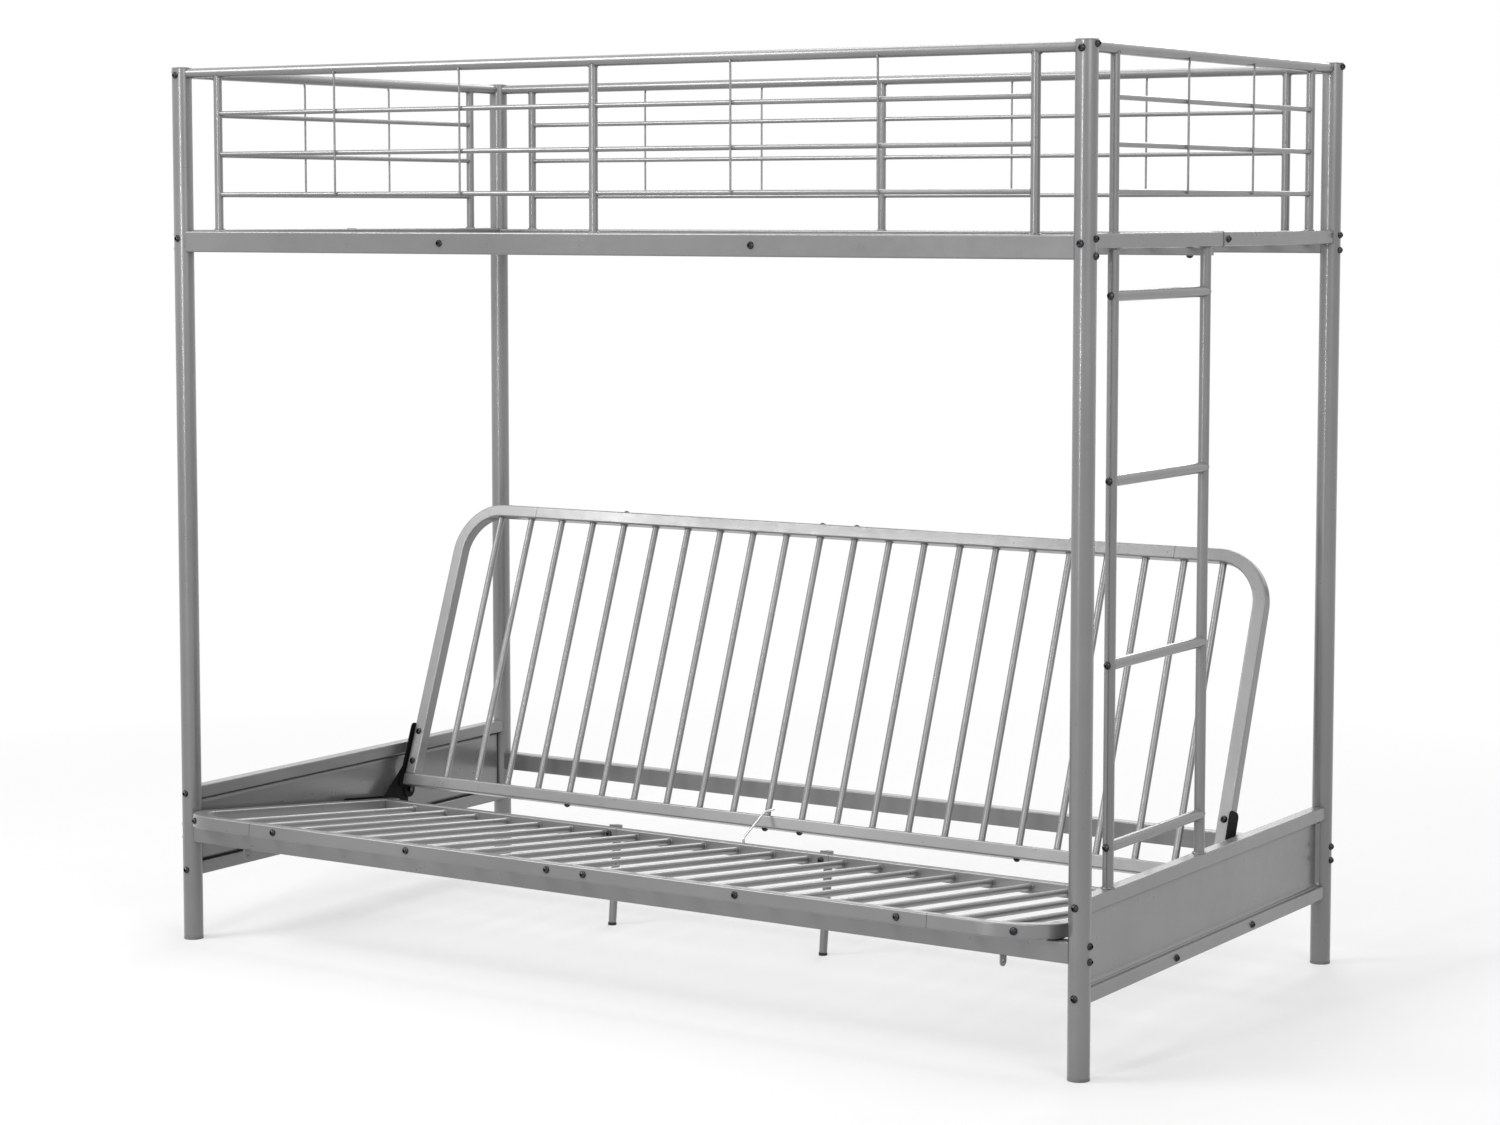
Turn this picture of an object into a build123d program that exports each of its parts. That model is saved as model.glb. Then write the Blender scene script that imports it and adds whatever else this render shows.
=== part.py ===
from build123d import *
import math
import os

# A metal loft bed with a sofa under it.
# Four round posts carry a guarded bed deck, and a bench seat with a folding back stands between them.
# X runs along the bed, Y from front to back and Z up, all in millimetres.
# Everything is laid out from the middle of the four posts, and the finished pieces are moved
# together at the end so that the origin lies on the floor under the middle of the whole bed.

os.makedirs("parts", exist_ok=True)

# The post frame
frame_length = 1981.0
frame_depth = 1041.0
deck_height = 1385.0
guard_height = 302.0
post_above_guard = 9.0
post_diameter = 38.0
post_wall = 1.2
post_cap_height = 4.0
post_foot_height = 5.0
spigot_length = 25.0
cap_spigot_length = 18.0
spigot_wall = 2.0

# Fits
butt_gap = 0.2          # between two pieces of one frame that butt together
seam_gap = 0.8          # between two lengths of tube that meet over a sleeve
hole_gap = 0.15         # round a bolt, on the radius
spigot_gap = 0.15       # round a plug in its tube, on the radius
slide_gap = 0.3         # under the seat where it slides over the front rail
plate_gap = 0.3         # between the two hinge plates
pivot_gap = 0.05        # round the hinge pin, on the radius
overrun = 2.0           # how far a cut runs past the metal

# Bolts and nuts
bolt_diameter = 6.0
bolt_head_diameter = 13.5
bolt_head_height = 5.5
bolt_socket_width = 5.0
bolt_socket_depth = 3.0
bolt_engagement = 18.0  # how deep a bolt reaches into the piece that it holds
nut_width = 10.0
nut_height = 5.0
bolt_tip_gap = 1.0
bolt_spacing_spare = 2.0
bolt_crossing_gap = 1.0

# Upper bed rails
upper_rail_height = 40.0
upper_rail_width = 25.0
upper_bolt_spacing = 28.0
end_rail_size = 25.0
end_rail_above_deck = 2.5
joiner_length = 90.0
joiner_bolt_y = 20.0
rail_wall = 1.2
rail_corner = 3.0
rail_plug_depth = 26.0
joiner_gap = 0.2
joiner_wall = 1.0

# Bed deck
deck_slat_diameter = 13.0
deck_slat_wall = 1.0
deck_slat_end_space = 51.5
deck_slat_pairs = 12
centre_rail_height = 16.0
centre_rail_width = 30.0
bearer_slat = 4
bearer_aside = 22.0
bearer_size = 25.0

# Guards round the bed
guard_rail_diameter = 19.0
guard_post_diameter = 16.0
guard_bar_diameter = 9.0
guard_bar_drop = 78.0
guard_bar_pitch = 77.0
guard_bar_count = 3
guard_wire_diameter = 4.0
guard_tube_wall = 1.0
long_guard_inset = 91.5
long_guard_bays_per_side = 3
end_guard_inset = 101.5
end_guard_bays = 3

# Ladder on the right-hand end
ladder_inset = 101.5
ladder_width = 355.0
ladder_stile_diameter = 19.0
ladder_rung_diameter = 19.0
ladder_top_space = 77.3
ladder_low_space = 68.8
ladder_rung_count = 4

# Lower end panels
panel_rail_size = 25.0
panel_top_z = 289.5
panel_bottom_z = 138.5
panel_sheet_thickness = 1.5
panel_sheet_inset = 2.5
panel_flare_radius = 9.0
panel_bolt_y = 158.0

# Lower long rails
lower_rail_height = 37.0
lower_rail_width = 25.0
lower_rail_z = 212.0
lower_bolt_spacing = 26.0
tab_inset = 141.5
tab_thickness = 3.0
tab_width = 19.0
tab_drop = 21.0
tab_hole_diameter = 7.0

# Seat
seat_slope = 6.2
seat_overhang = 84.2
seat_tube = 25.4
seat_wall = 1.2
seat_corner = 3.0
seat_side_clearance = 11.8
seat_bend_radius = 95.0
seat_joint_straight = 94.5
seat_depth = 627.0
seat_side_overhang = 20.0
seat_slat_diameter = 13.0
seat_slat_wall = 1.0
slat_side_space = 88.0
slat_pairs = 11
seat_bolt_step = 4
seat_bend_bolt_angle = 33.0
sleeve_length = 70.0
tube_plug_depth = 15.0
tube_plug_lip = 2.0

# Legs under the back of the seat
leg_left_slat = 4
leg_left_aside = 10.0
leg_right_slat = 1
leg_right_aside = 25.0
leg_bolt_aside = 5.0
rear_joint_from_leg = 22.0
leg_top_diameter = 18.0
leg_foot_diameter = 15.5
leg_wall = 1.5
leg_plate_thickness = 3.0
leg_plate_width = 25.4
leg_plate_rise = 3.0
glide_diameter = 17.0
glide_height = 5.0

# Backrest
back_tilt = 20.4
back_height = 595.0
back_tube = 25.4
back_bend_radius = 95.0
back_joint_straight = 90.0
back_bar_diameter = 13.0
back_bar_wall = 1.0
back_bolt_first = 0
back_bolt_second = 6
stile_bolt_low = 39.0
stile_bolt_high = 103.0

# Hinges between seat and back
pivot_behind_seat_rail = 97.0
pivot_above_seat = 27.8
pivot_below_back = 17.8
pivot_behind_back = 15.2
pin_diameter = 8.0
pin_head_diameter = 13.0
pin_head_height = 3.0
plate_thickness = 2.5
back_plate_top = 120.0
back_plate_front_reach = 10.0
hinge_lobe_radius = 17.0
plate_corner = 10.0
seat_plate_length = 212.0
seat_plate_rise = 3.2
seat_plate_height = 27.0
seat_web_length = 78.0
seat_web_height = 74.0
seat_web_top = 12.0
seat_plate_bolt_first = 100.0
seat_plate_bolt_second = 165.0
flange_width = 24.0
flange_bottom = 26.0

# Wire link that hooks the back to the seat
link_diameter = 5.0
link_bend_radius = 12.0
link_side_gap = 0.5
link_rise = 24.5
link_run_past_rail = 14.0
link_start_rise = 12.0

# Places worked out from the sizes above
post_radius = post_diameter / 2
post_x = frame_length / 2 - post_radius
post_y = frame_depth / 2 - post_radius
upper_rail_z = deck_height - upper_rail_height / 2
end_rail_z = deck_height + end_rail_above_deck - end_rail_size / 2
guard_rail_z = deck_height + guard_height
guard_bolt_offset = (bolt_diameter + bolt_crossing_gap) / 2
post_top = guard_rail_z + post_above_guard
frame_height = post_top + post_cap_height
long_guard_post_x = post_x - long_guard_inset
end_guard_post_y = post_y - end_guard_inset
guard_bar_top_z = guard_rail_z - guard_bar_drop
ladder_front_y = ladder_inset - post_y
ladder_back_y = ladder_front_y + ladder_width
tab_x = post_x - tab_inset
cope_radius = post_radius + butt_gap
bolt_radius = bolt_diameter / 2
hole_radius = bolt_radius + hole_gap
post_bolt_length = post_diameter + bolt_engagement
left, right, front, back = -1, 1, -1, 1
corners = {
    "front_left": (left, front),
    "front_right": (right, front),
    "back_left": (left, back),
    "back_right": (right, back),
}
long_bolt_heights = [
    guard_rail_z + guard_bolt_offset,
    upper_rail_z + upper_bolt_spacing / 2,
    upper_rail_z - upper_bolt_spacing / 2,
    lower_rail_z + lower_bolt_spacing / 2,
    lower_rail_z - lower_bolt_spacing / 2,
]
end_bolt_heights = [
    guard_rail_z - guard_bolt_offset,
    upper_rail_z + upper_bolt_spacing / 2 - bolt_diameter - bolt_spacing_spare,
    panel_top_z,
    panel_bottom_z,
]
pieces = {}


def even_pairs(outermost, pairs):
    """The places on one side of the middle of bars that stand in pairs at one pitch."""
    pitch = outermost / (pairs - 1 / 2)
    return [pitch * (index + 1 / 2) for index in range(pairs)]


deck_slat_half_xs = even_pairs(post_x - deck_slat_end_space, deck_slat_pairs)
deck_slat_xs = [side * x for x in deck_slat_half_xs for side in (left, right)]
bearer_x = deck_slat_half_xs[bearer_slat] - bearer_aside


def rounded_tube(plane, length, width, height, wall, corner, plug=0.0):
    """Add a rounded box tube that starts on the plane; each end is closed over the plug's depth."""
    with BuildSketch(plane) as outside:
        RectangleRounded(width, height, corner)
    extrude(outside.sketch, amount=length)
    with BuildSketch(plane.offset(plug)) as bore:
        RectangleRounded(width - 2 * wall, height - 2 * wall, corner - wall)
    extrude(bore.sketch, amount=length - 2 * plug, mode=Mode.SUBTRACT)


def round_tube(plane, length, diameter, wall, plug=0.0):
    """Add a round tube that starts on the plane; each end is closed over the plug's depth."""
    with BuildSketch(plane) as outside:
        Circle(diameter / 2)
    extrude(outside.sketch, amount=length)
    with BuildSketch(plane.offset(plug)) as bore:
        Circle(diameter / 2 - wall)
    extrude(bore.sketch, amount=length - 2 * plug, mode=Mode.SUBTRACT)


def along_x(x, y, z):
    """A plane whose normal is +X, with its sketch's x along Y and y along Z."""
    return Plane(origin=(x, y, z), x_dir=(0, 1, 0), z_dir=(1, 0, 0))


def along_y(x, y, z):
    """A plane whose normal is +Y, with its sketch's x along -X and y along Z."""
    return Plane(origin=(x, y, z), x_dir=(-1, 0, 0), z_dir=(0, 1, 0))


def upright(x, y, z):
    """A plane whose normal is +Z."""
    return Plane(origin=(x, y, z), x_dir=(1, 0, 0), z_dir=(0, 0, 1))


def cut_round(places, radius, depth):
    """Cut a round hole down from each place, which is a plane that faces out of the hole."""
    with Locations(*[place.offset(overrun).location for place in places]):
        Cylinder(
            radius,
            depth + overrun,
            align=(Align.CENTER, Align.CENTER, Align.MAX),
            mode=Mode.SUBTRACT,
        )


def cope_to_posts():
    """Cut a rail's ends to the round of the four posts."""
    with Locations(*[(x * post_x, y * post_y, frame_height / 2) for x, y in corners.values()]):
        Cylinder(cope_radius, frame_height + overrun, mode=Mode.SUBTRACT)


def button_bolt(length):
    """A bolt with a domed socket head, standing head up on the XY plane."""
    with BuildPart() as bolt:
        with BuildSketch(Plane.XZ):
            with BuildLine():
                Polyline(
                    (0, bolt_head_height),
                    (0, -length),
                    (bolt_radius, -length),
                    (bolt_radius, 0),
                    (bolt_head_diameter / 2, 0),
                )
                TangentArc((0, bolt_head_height), (bolt_head_diameter / 2, 0), tangent=(1, 0))
            make_face()
        revolve(axis=Axis.Z)
        with BuildSketch(Plane.XY.offset(bolt_head_height)):
            RegularPolygon(bolt_socket_width / 2, 6, major_radius=False)
        extrude(amount=-bolt_socket_depth, mode=Mode.SUBTRACT)
    return bolt.part


def hex_nut():
    """A hexagon nut that stands on the XY plane."""
    with BuildPart() as nut:
        with BuildSketch():
            RegularPolygon(nut_width / 2, 6, major_radius=False)
            Circle(hole_radius, mode=Mode.SUBTRACT)
        extrude(amount=nut_height)
    return nut.part


def place_copies(part, places):
    """Add a copy of the part on each plane."""
    with Locations(*[place.location for place in places]):
        add(part)


def long_post_bolts(x_side, y_side, heights):
    """Planes on the outer end of a post, for bolts that run along X."""
    x = x_side * (post_x + post_radius)
    return [
        Plane(origin=(x, y_side * post_y, z), x_dir=(0, 0, 1), z_dir=(x_side, 0, 0)) for z in heights
    ]


def end_post_bolts(x_side, y_side, heights):
    """Planes on the front or back of a post, for bolts that run along Y."""
    y = y_side * (post_y + post_radius)
    return [
        Plane(origin=(x_side * post_x, y, z), x_dir=(0, 0, 1), z_dir=(0, y_side, 0)) for z in heights
    ]


def drill_long_rail():
    """Drill the ends of a rail that runs along X for the bolts through the posts."""
    for x_side, y_side in corners.values():
        places = long_post_bolts(x_side, y_side, long_bolt_heights)
        cut_round(places, hole_radius, post_diameter + rail_plug_depth + overrun)


def drill_end_rail():
    """Drill the ends of a rail that runs along Y for the bolts through the posts."""
    for x_side, y_side in corners.values():
        places = end_post_bolts(x_side, y_side, end_bolt_heights)
        cut_round(places, hole_radius, post_diameter + rail_plug_depth + overrun)


def keep(name, builder):
    """List a finished piece under the name of its node."""
    pieces[name] = builder


# Corner posts
for name, (x_side, y_side) in corners.items():
    with BuildPart() as post:
        round_tube(
            upright(x_side * post_x, y_side * post_y, post_foot_height),
            post_top - post_foot_height,
            post_diameter,
            post_wall,
        )
        cut_round(long_post_bolts(x_side, y_side, long_bolt_heights), hole_radius, post_bolt_length)
        cut_round(end_post_bolts(x_side, y_side, end_bolt_heights), hole_radius, post_bolt_length)
    keep(f"post_{name}", post)

# Caps on the post tops, low domes with a spigot in the tube
spigot_radius = post_radius - post_wall - spigot_gap
cap_rim = post_cap_height / 2
with BuildPart() as cap_shape:
    with BuildSketch(Plane.XZ):
        with BuildLine():
            Polyline(
                (0, post_cap_height),
                (0, cap_rim),
                (spigot_radius - spigot_wall, cap_rim),
                (spigot_radius - spigot_wall, -cap_spigot_length),
                (spigot_radius, -cap_spigot_length),
                (spigot_radius, 0),
                (post_radius, 0),
                (post_radius, cap_rim),
            )
            TangentArc((0, post_cap_height), (post_radius, cap_rim), tangent=(1, 0))
        make_face()
    revolve(axis=Axis.Z)
with BuildPart() as post_caps:
    place_copies(cap_shape.part, [upright(x * post_x, y * post_y, post_top) for x, y in corners.values()])
    for x_side, y_side in corners.values():
        cut_round(long_post_bolts(x_side, y_side, long_bolt_heights[:1]), hole_radius, post_bolt_length)
        cut_round(end_post_bolts(x_side, y_side, end_bolt_heights[:1]), hole_radius, post_bolt_length)
keep("post_caps", post_caps)

# Feet in the lower ends of the posts
with BuildPart() as post_feet:
    for x_side, y_side in corners.values():
        foot_place = upright(x_side * post_x, y_side * post_y, 0)
        with BuildSketch(foot_place):
            Circle(post_radius)
        extrude(amount=post_foot_height)
        with BuildSketch(foot_place.offset(post_foot_height)):
            Circle(spigot_radius)
            Circle(spigot_radius - spigot_wall, mode=Mode.SUBTRACT)
        extrude(amount=spigot_length)
keep("post_feet", post_feet)

# Bolts through the posts
with BuildPart() as post_bolts:
    for x_side, y_side in corners.values():
        place_copies(button_bolt(post_bolt_length), long_post_bolts(x_side, y_side, long_bolt_heights))
        place_copies(button_bolt(post_bolt_length), end_post_bolts(x_side, y_side, end_bolt_heights))
keep("post_bolts", post_bolts)

# Long rails of the bed deck, drilled for the bearers' bolts
upper_inner_y = post_y - upper_rail_width / 2
bearer_bolt_length = upper_rail_width + bolt_engagement
bearer_bolt_places = {
    side: [
        Plane(
            origin=(x, side * (post_y + upper_rail_width / 2), upper_rail_z),
            x_dir=(1, 0, 0),
            z_dir=(0, side, 0),
        )
        for x in (-bearer_x, bearer_x)
    ]
    for side in (front, back)
}
for name, side in (("upper_front_rail", front), ("upper_back_rail", back)):
    with BuildPart() as upper_rail:
        rounded_tube(
            along_x(-post_x, side * post_y, upper_rail_z),
            2 * post_x,
            upper_rail_width,
            upper_rail_height,
            rail_wall,
            rail_corner,
            post_radius + rail_plug_depth,
        )
        cope_to_posts()
        drill_long_rail()
        cut_round(bearer_bolt_places[side], hole_radius, bearer_bolt_length)
    keep(name, upper_rail)

# End rails of the bed deck, each in two halves that meet in the middle over a joiner
joiner_size = end_rail_size - 2 * (rail_wall + joiner_gap)
joiner_corner = rail_corner - rail_wall
joiner_bolts = {
    side: Plane(
        origin=(side * (post_x + end_rail_size / 2), joiner_bolt_y, end_rail_z),
        x_dir=(0, 1, 0),
        z_dir=(side, 0, 0),
    )
    for side in (left, right)
}
for name, side in (("upper_left_end_rails", left), ("upper_right_end_rails", right)):
    with BuildPart() as end_rails:
        rounded_tube(
            along_y(side * post_x, -post_y, end_rail_z),
            2 * post_y,
            end_rail_size,
            end_rail_size,
            rail_wall,
            rail_corner,
            post_radius + rail_plug_depth,
        )
        with Locations((side * post_x, 0, end_rail_z)):
            Box(end_rail_size + overrun, seam_gap, end_rail_size + overrun, mode=Mode.SUBTRACT)
        cope_to_posts()
        drill_end_rail()
        cut_round([joiner_bolts[side]], hole_radius, end_rail_size + overrun)
    keep(name, end_rails)

with BuildPart() as end_rail_joiners:
    for side in (left, right):
        rounded_tube(
            along_y(side * post_x, -joiner_length / 2, end_rail_z),
            joiner_length,
            joiner_size,
            joiner_size,
            joiner_wall,
            joiner_corner,
        )
        cut_round([joiner_bolts[side]], hole_radius, end_rail_size + overrun)
keep("end_rail_joiners", end_rail_joiners)

# Centre rail under the deck, and two cross bearers notched over it
centre_rail_top = end_rail_z - end_rail_size / 2 - butt_gap
centre_rail_z = centre_rail_top - centre_rail_height / 2
centre_rail_half = post_x - end_rail_size / 2 - butt_gap
deck_slat_radius = deck_slat_diameter / 2
deck_slat_z = centre_rail_top + butt_gap + deck_slat_radius
centre_bolt_xs = [min(deck_slat_xs), max(deck_slat_xs)]
centre_bolt_places = [
    Plane(origin=(x, 0, centre_rail_top - centre_rail_height), x_dir=(1, 0, 0), z_dir=(0, 0, -1))
    for x in centre_bolt_xs
]
centre_bolt_length = centre_rail_height + deck_slat_radius
with BuildPart() as deck_centre_rail:
    rounded_tube(
        along_x(-centre_rail_half, 0, centre_rail_z),
        2 * centre_rail_half,
        centre_rail_width,
        centre_rail_height,
        rail_wall,
        rail_corner,
        rail_wall,
    )
    cut_round(centre_bolt_places, hole_radius, centre_bolt_length)
keep("deck_centre_rail", deck_centre_rail)

bearer_half = upper_inner_y - butt_gap
with BuildPart() as deck_bearers:
    for x in (-bearer_x, bearer_x):
        rounded_tube(
            along_y(x, -bearer_half, upper_rail_z),
            2 * bearer_half,
            bearer_size,
            bearer_size,
            rail_wall,
            rail_corner,
            rail_plug_depth,
        )
        with Locations((x, 0, centre_rail_z)):
            Box(
                bearer_size + overrun,
                centre_rail_width + 2 * butt_gap,
                centre_rail_height + 2 * butt_gap,
                mode=Mode.SUBTRACT,
            )
    for side in (front, back):
        cut_round(
            bearer_bolt_places[side],
            hole_radius,
            upper_rail_width + rail_plug_depth + overrun,
        )
keep("deck_bearers", deck_bearers)

# Bolts of the bed deck: through the joiners, up into the outer slats and into the bearers
with BuildPart() as deck_bolts:
    place_copies(button_bolt(end_rail_size - rail_wall), joiner_bolts.values())
    place_copies(button_bolt(centre_bolt_length), centre_bolt_places)
    for side in (front, back):
        place_copies(button_bolt(bearer_bolt_length), bearer_bolt_places[side])
keep("deck_bolts", deck_bolts)

# Slats of the bed deck
deck_slat_half = upper_inner_y - butt_gap
with BuildPart() as deck_slats:
    with BuildSketch(Plane.XZ.offset(deck_slat_half)):
        with Locations(*[(x, deck_slat_z) for x in deck_slat_xs]):
            Circle(deck_slat_radius)
            Circle(deck_slat_radius - deck_slat_wall, mode=Mode.SUBTRACT)
    extrude(amount=-2 * deck_slat_half)
    cut_round(centre_bolt_places, hole_radius, centre_bolt_length)
keep("deck_slats", deck_slats)

# Guards: a top rail between the posts, uprights on the bed rail, three bars and thin wires
guard_rail_radius = guard_rail_diameter / 2
guard_post_radius = guard_post_diameter / 2
guard_bar_radius = guard_bar_diameter / 2
guard_wire_radius = guard_wire_diameter / 2
guard_bar_zs = [guard_bar_top_z - index * guard_bar_pitch for index in range(guard_bar_count)]
wire_offset = guard_bar_radius + guard_wire_radius + butt_gap
wire_bottom = min(guard_bar_zs) - guard_bar_radius
long_bay = long_guard_post_x / long_guard_bays_per_side
long_post_xs = [-long_guard_post_x, 0, long_guard_post_x]
long_wire_xs = [
    side * step * long_bay for side in (left, right) for step in range(1, long_guard_bays_per_side)
]
end_post_ys = [-end_guard_post_y, end_guard_post_y]
end_bay = 2 * end_guard_post_y / end_guard_bays
end_wire_ys = [-end_guard_post_y + step * end_bay for step in range(1, end_guard_bays)]


def clear_of_rods(plane, length, radius):
    """Cut away the room of a round rod that starts on the plane, with the butting gap round it."""
    with BuildSketch(plane) as rod:
        Circle(radius + butt_gap)
    extrude(rod.sketch, amount=length, mode=Mode.SUBTRACT)


long_rail_starts = {side: along_x(-post_x, side * post_y, guard_rail_z) for side in (front, back)}
end_rail_starts = {side: along_y(side * post_x, -post_y, guard_rail_z) for side in (left, right)}
for name, side in (("front", front), ("back", back)):
    side_y = side * post_y
    rail_start = long_rail_starts[side]
    with BuildPart() as guard_rail:
        round_tube(
            rail_start, 2 * post_x, guard_rail_diameter, guard_tube_wall, post_radius + rail_plug_depth
        )
        cope_to_posts()
        drill_long_rail()
    keep(f"{name}_guard_rail", guard_rail)

    post_base = upper_rail_z + upper_rail_height / 2 + butt_gap
    with BuildPart() as guard_uprights:
        for x in long_post_xs:
            round_tube(
                upright(x, side_y, post_base),
                guard_rail_z - post_base,
                guard_post_diameter,
                guard_tube_wall,
            )
        clear_of_rods(rail_start, 2 * post_x, guard_rail_radius)
    keep(f"{name}_guard_uprights", guard_uprights)

    with BuildPart() as guard_bars:
        with BuildSketch(along_x(-long_guard_post_x, side_y, 0)):
            with Locations(*[(0, z) for z in guard_bar_zs]):
                Circle(guard_bar_radius)
        extrude(amount=2 * long_guard_post_x)
        for x in long_post_xs:
            clear_of_rods(upright(x, side_y, upper_rail_z), guard_rail_z - upper_rail_z, guard_post_radius)
    keep(f"{name}_guard_bars", guard_bars)

for name, side in (("left", left), ("right", right)):
    side_x = side * post_x
    rail_start = end_rail_starts[side]
    with BuildPart() as guard_rail:
        round_tube(
            rail_start, 2 * post_y, guard_rail_diameter, guard_tube_wall, post_radius + rail_plug_depth
        )
        cope_to_posts()
        drill_end_rail()
    keep(f"{name}_guard_rail", guard_rail)

    post_base = end_rail_z + end_rail_size / 2 + butt_gap
    with BuildPart() as guard_uprights:
        for y in end_post_ys:
            round_tube(
                upright(side_x, y, post_base),
                guard_rail_z - post_base,
                guard_post_diameter,
                guard_tube_wall,
            )
        clear_of_rods(rail_start, 2 * post_y, guard_rail_radius)
    keep(f"{name}_guard_uprights", guard_uprights)

    with BuildPart() as guard_bars:
        with BuildSketch(along_y(side_x, -end_guard_post_y, 0)):
            with Locations(*[(0, z) for z in guard_bar_zs]):
                Circle(guard_bar_radius)
        extrude(amount=2 * end_guard_post_y)
        for y in end_post_ys:
            clear_of_rods(upright(side_x, y, upper_rail_z), guard_rail_z - upper_rail_z, guard_post_radius)
    keep(f"{name}_guard_bars", guard_bars)

# Thin wires outside the guard bars, from the lowest bar up to the top rail
wire_places = [(x, side * (post_y + wire_offset)) for side in (front, back) for x in long_wire_xs]
wire_places += [(side * (post_x + wire_offset), y) for side in (left, right) for y in end_wire_ys]
with BuildPart() as guard_wires:
    with BuildSketch(Plane.XY.offset(wire_bottom)):
        with Locations(*wire_places):
            Circle(guard_wire_radius)
    extrude(amount=guard_rail_z - wire_bottom)
    for rail_start in long_rail_starts.values():
        clear_of_rods(rail_start, 2 * post_x, guard_rail_radius)
    for rail_start in end_rail_starts.values():
        clear_of_rods(rail_start, 2 * post_y, guard_rail_radius)
keep("guard_wires", guard_wires)

# Lower end panels: two rails with a flared sheet between them
sheet_half = post_y - cope_radius
panel_top_under = panel_top_z - panel_rail_size / 2 - butt_gap
panel_bottom_over = panel_bottom_z + panel_rail_size / 2 + butt_gap
panel_bolt_places = {
    side: [
        Plane(
            origin=(side * (post_x + panel_rail_size / 2), y, panel_bottom_z),
            x_dir=(0, 1, 0),
            z_dir=(side, 0, 0),
        )
        for y in (-panel_bolt_y, panel_bolt_y)
    ]
    for side in (left, right)
}
for name, side in (("left", left), ("right", right)):
    with BuildPart() as panel_rails:
        for rail_z in (panel_top_z, panel_bottom_z):
            rounded_tube(
                along_y(side * post_x, -post_y, rail_z),
                2 * post_y,
                panel_rail_size,
                panel_rail_size,
                rail_wall,
                rail_corner,
                post_radius + rail_plug_depth,
            )
        cope_to_posts()
        drill_end_rail()
        cut_round(panel_bolt_places[side], hole_radius, panel_rail_size + overrun)
    keep(f"{name}_panel_rails", panel_rails)

    sheet_inner = post_x - panel_sheet_inset - panel_sheet_thickness
    sheet_outer = post_x - panel_sheet_inset
    flare_inner = panel_flare_radius - panel_sheet_thickness
    with BuildPart() as panel_sheet:
        with BuildSketch(Plane.XZ.offset(-sheet_half)):
            with BuildLine():
                Polyline(
                    (side * (sheet_inner + panel_flare_radius), panel_bottom_over),
                    (side * (sheet_inner + panel_flare_radius), panel_bottom_over + panel_sheet_thickness),
                )
                RadiusArc(
                    (side * (sheet_inner + panel_flare_radius), panel_bottom_over + panel_sheet_thickness),
                    (side * sheet_outer, panel_bottom_over + panel_flare_radius),
                    side * flare_inner,
                )
                Polyline(
                    (side * sheet_outer, panel_bottom_over + panel_flare_radius),
                    (side * sheet_outer, panel_top_under),
                    (side * sheet_inner, panel_top_under),
                    (side * sheet_inner, panel_bottom_over + panel_flare_radius),
                )
                RadiusArc(
                    (side * sheet_inner, panel_bottom_over + panel_flare_radius),
                    (side * (sheet_inner + panel_flare_radius), panel_bottom_over),
                    -side * panel_flare_radius,
                )
            make_face()
        extrude(amount=2 * sheet_half)
    keep(f"{name}_panel_sheet", panel_sheet)

# Ladder: two stiles between the panel's top rail and the bed's end rail, and four bolted rungs
stile_bottom = panel_top_z + panel_rail_size / 2 + butt_gap
stile_top = end_rail_z - end_rail_size / 2 - butt_gap
stile_radius = ladder_stile_diameter / 2
top_rung_z = stile_top - ladder_top_space
rung_pitch = (top_rung_z - stile_bottom - ladder_low_space) / (ladder_rung_count - 1)
rung_zs = [top_rung_z - index * rung_pitch for index in range(ladder_rung_count)]
rung_bolt_length = ladder_stile_diameter + bolt_engagement
rung_bolt_places = [
    Plane(origin=(post_x, y - stile_radius, z), x_dir=(1, 0, 0), z_dir=(0, -1, 0))
    for y in (ladder_front_y,)
    for z in rung_zs
] + [
    Plane(origin=(post_x, y + stile_radius, z), x_dir=(1, 0, 0), z_dir=(0, 1, 0))
    for y in (ladder_back_y,)
    for z in rung_zs
]
with BuildPart() as ladder_stiles:
    for y in (ladder_front_y, ladder_back_y):
        round_tube(
            upright(post_x, y, stile_bottom), stile_top - stile_bottom, ladder_stile_diameter, rail_wall
        )
    cut_round(rung_bolt_places, hole_radius, rung_bolt_length)
keep("ladder_stiles", ladder_stiles)

with BuildPart() as ladder_rungs:
    for z in rung_zs:
        round_tube(
            along_y(post_x, ladder_front_y, z),
            ladder_back_y - ladder_front_y,
            ladder_rung_diameter,
            rail_wall,
            stile_radius + rail_plug_depth,
        )
    for y in (ladder_front_y, ladder_back_y):
        clear_of_rods(upright(post_x, y, stile_bottom), stile_top - stile_bottom, stile_radius)
    cut_round(rung_bolt_places, hole_radius, ladder_stile_diameter + rail_plug_depth + overrun)
keep("ladder_rungs", ladder_rungs)

with BuildPart() as panel_and_ladder_bolts:
    for side in (left, right):
        place_copies(button_bolt(panel_rail_size - rail_wall), panel_bolt_places[side])
    place_copies(button_bolt(rung_bolt_length), rung_bolt_places)
keep("panel_and_ladder_bolts", panel_and_ladder_bolts)

# Lower long rails, with small drilled tabs under the front one
lower_rail_top = lower_rail_z + lower_rail_height / 2
lower_rail_bottom = lower_rail_z - lower_rail_height / 2
for name, side in (("lower_front_rail", front), ("lower_back_rail", back)):
    with BuildPart() as lower_rail:
        rounded_tube(
            along_x(-post_x, side * post_y, lower_rail_z),
            2 * post_x,
            lower_rail_width,
            lower_rail_height,
            rail_wall,
            rail_corner,
            post_radius + rail_plug_depth,
        )
        cope_to_posts()
        drill_long_rail()
    keep(name, lower_rail)

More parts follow.
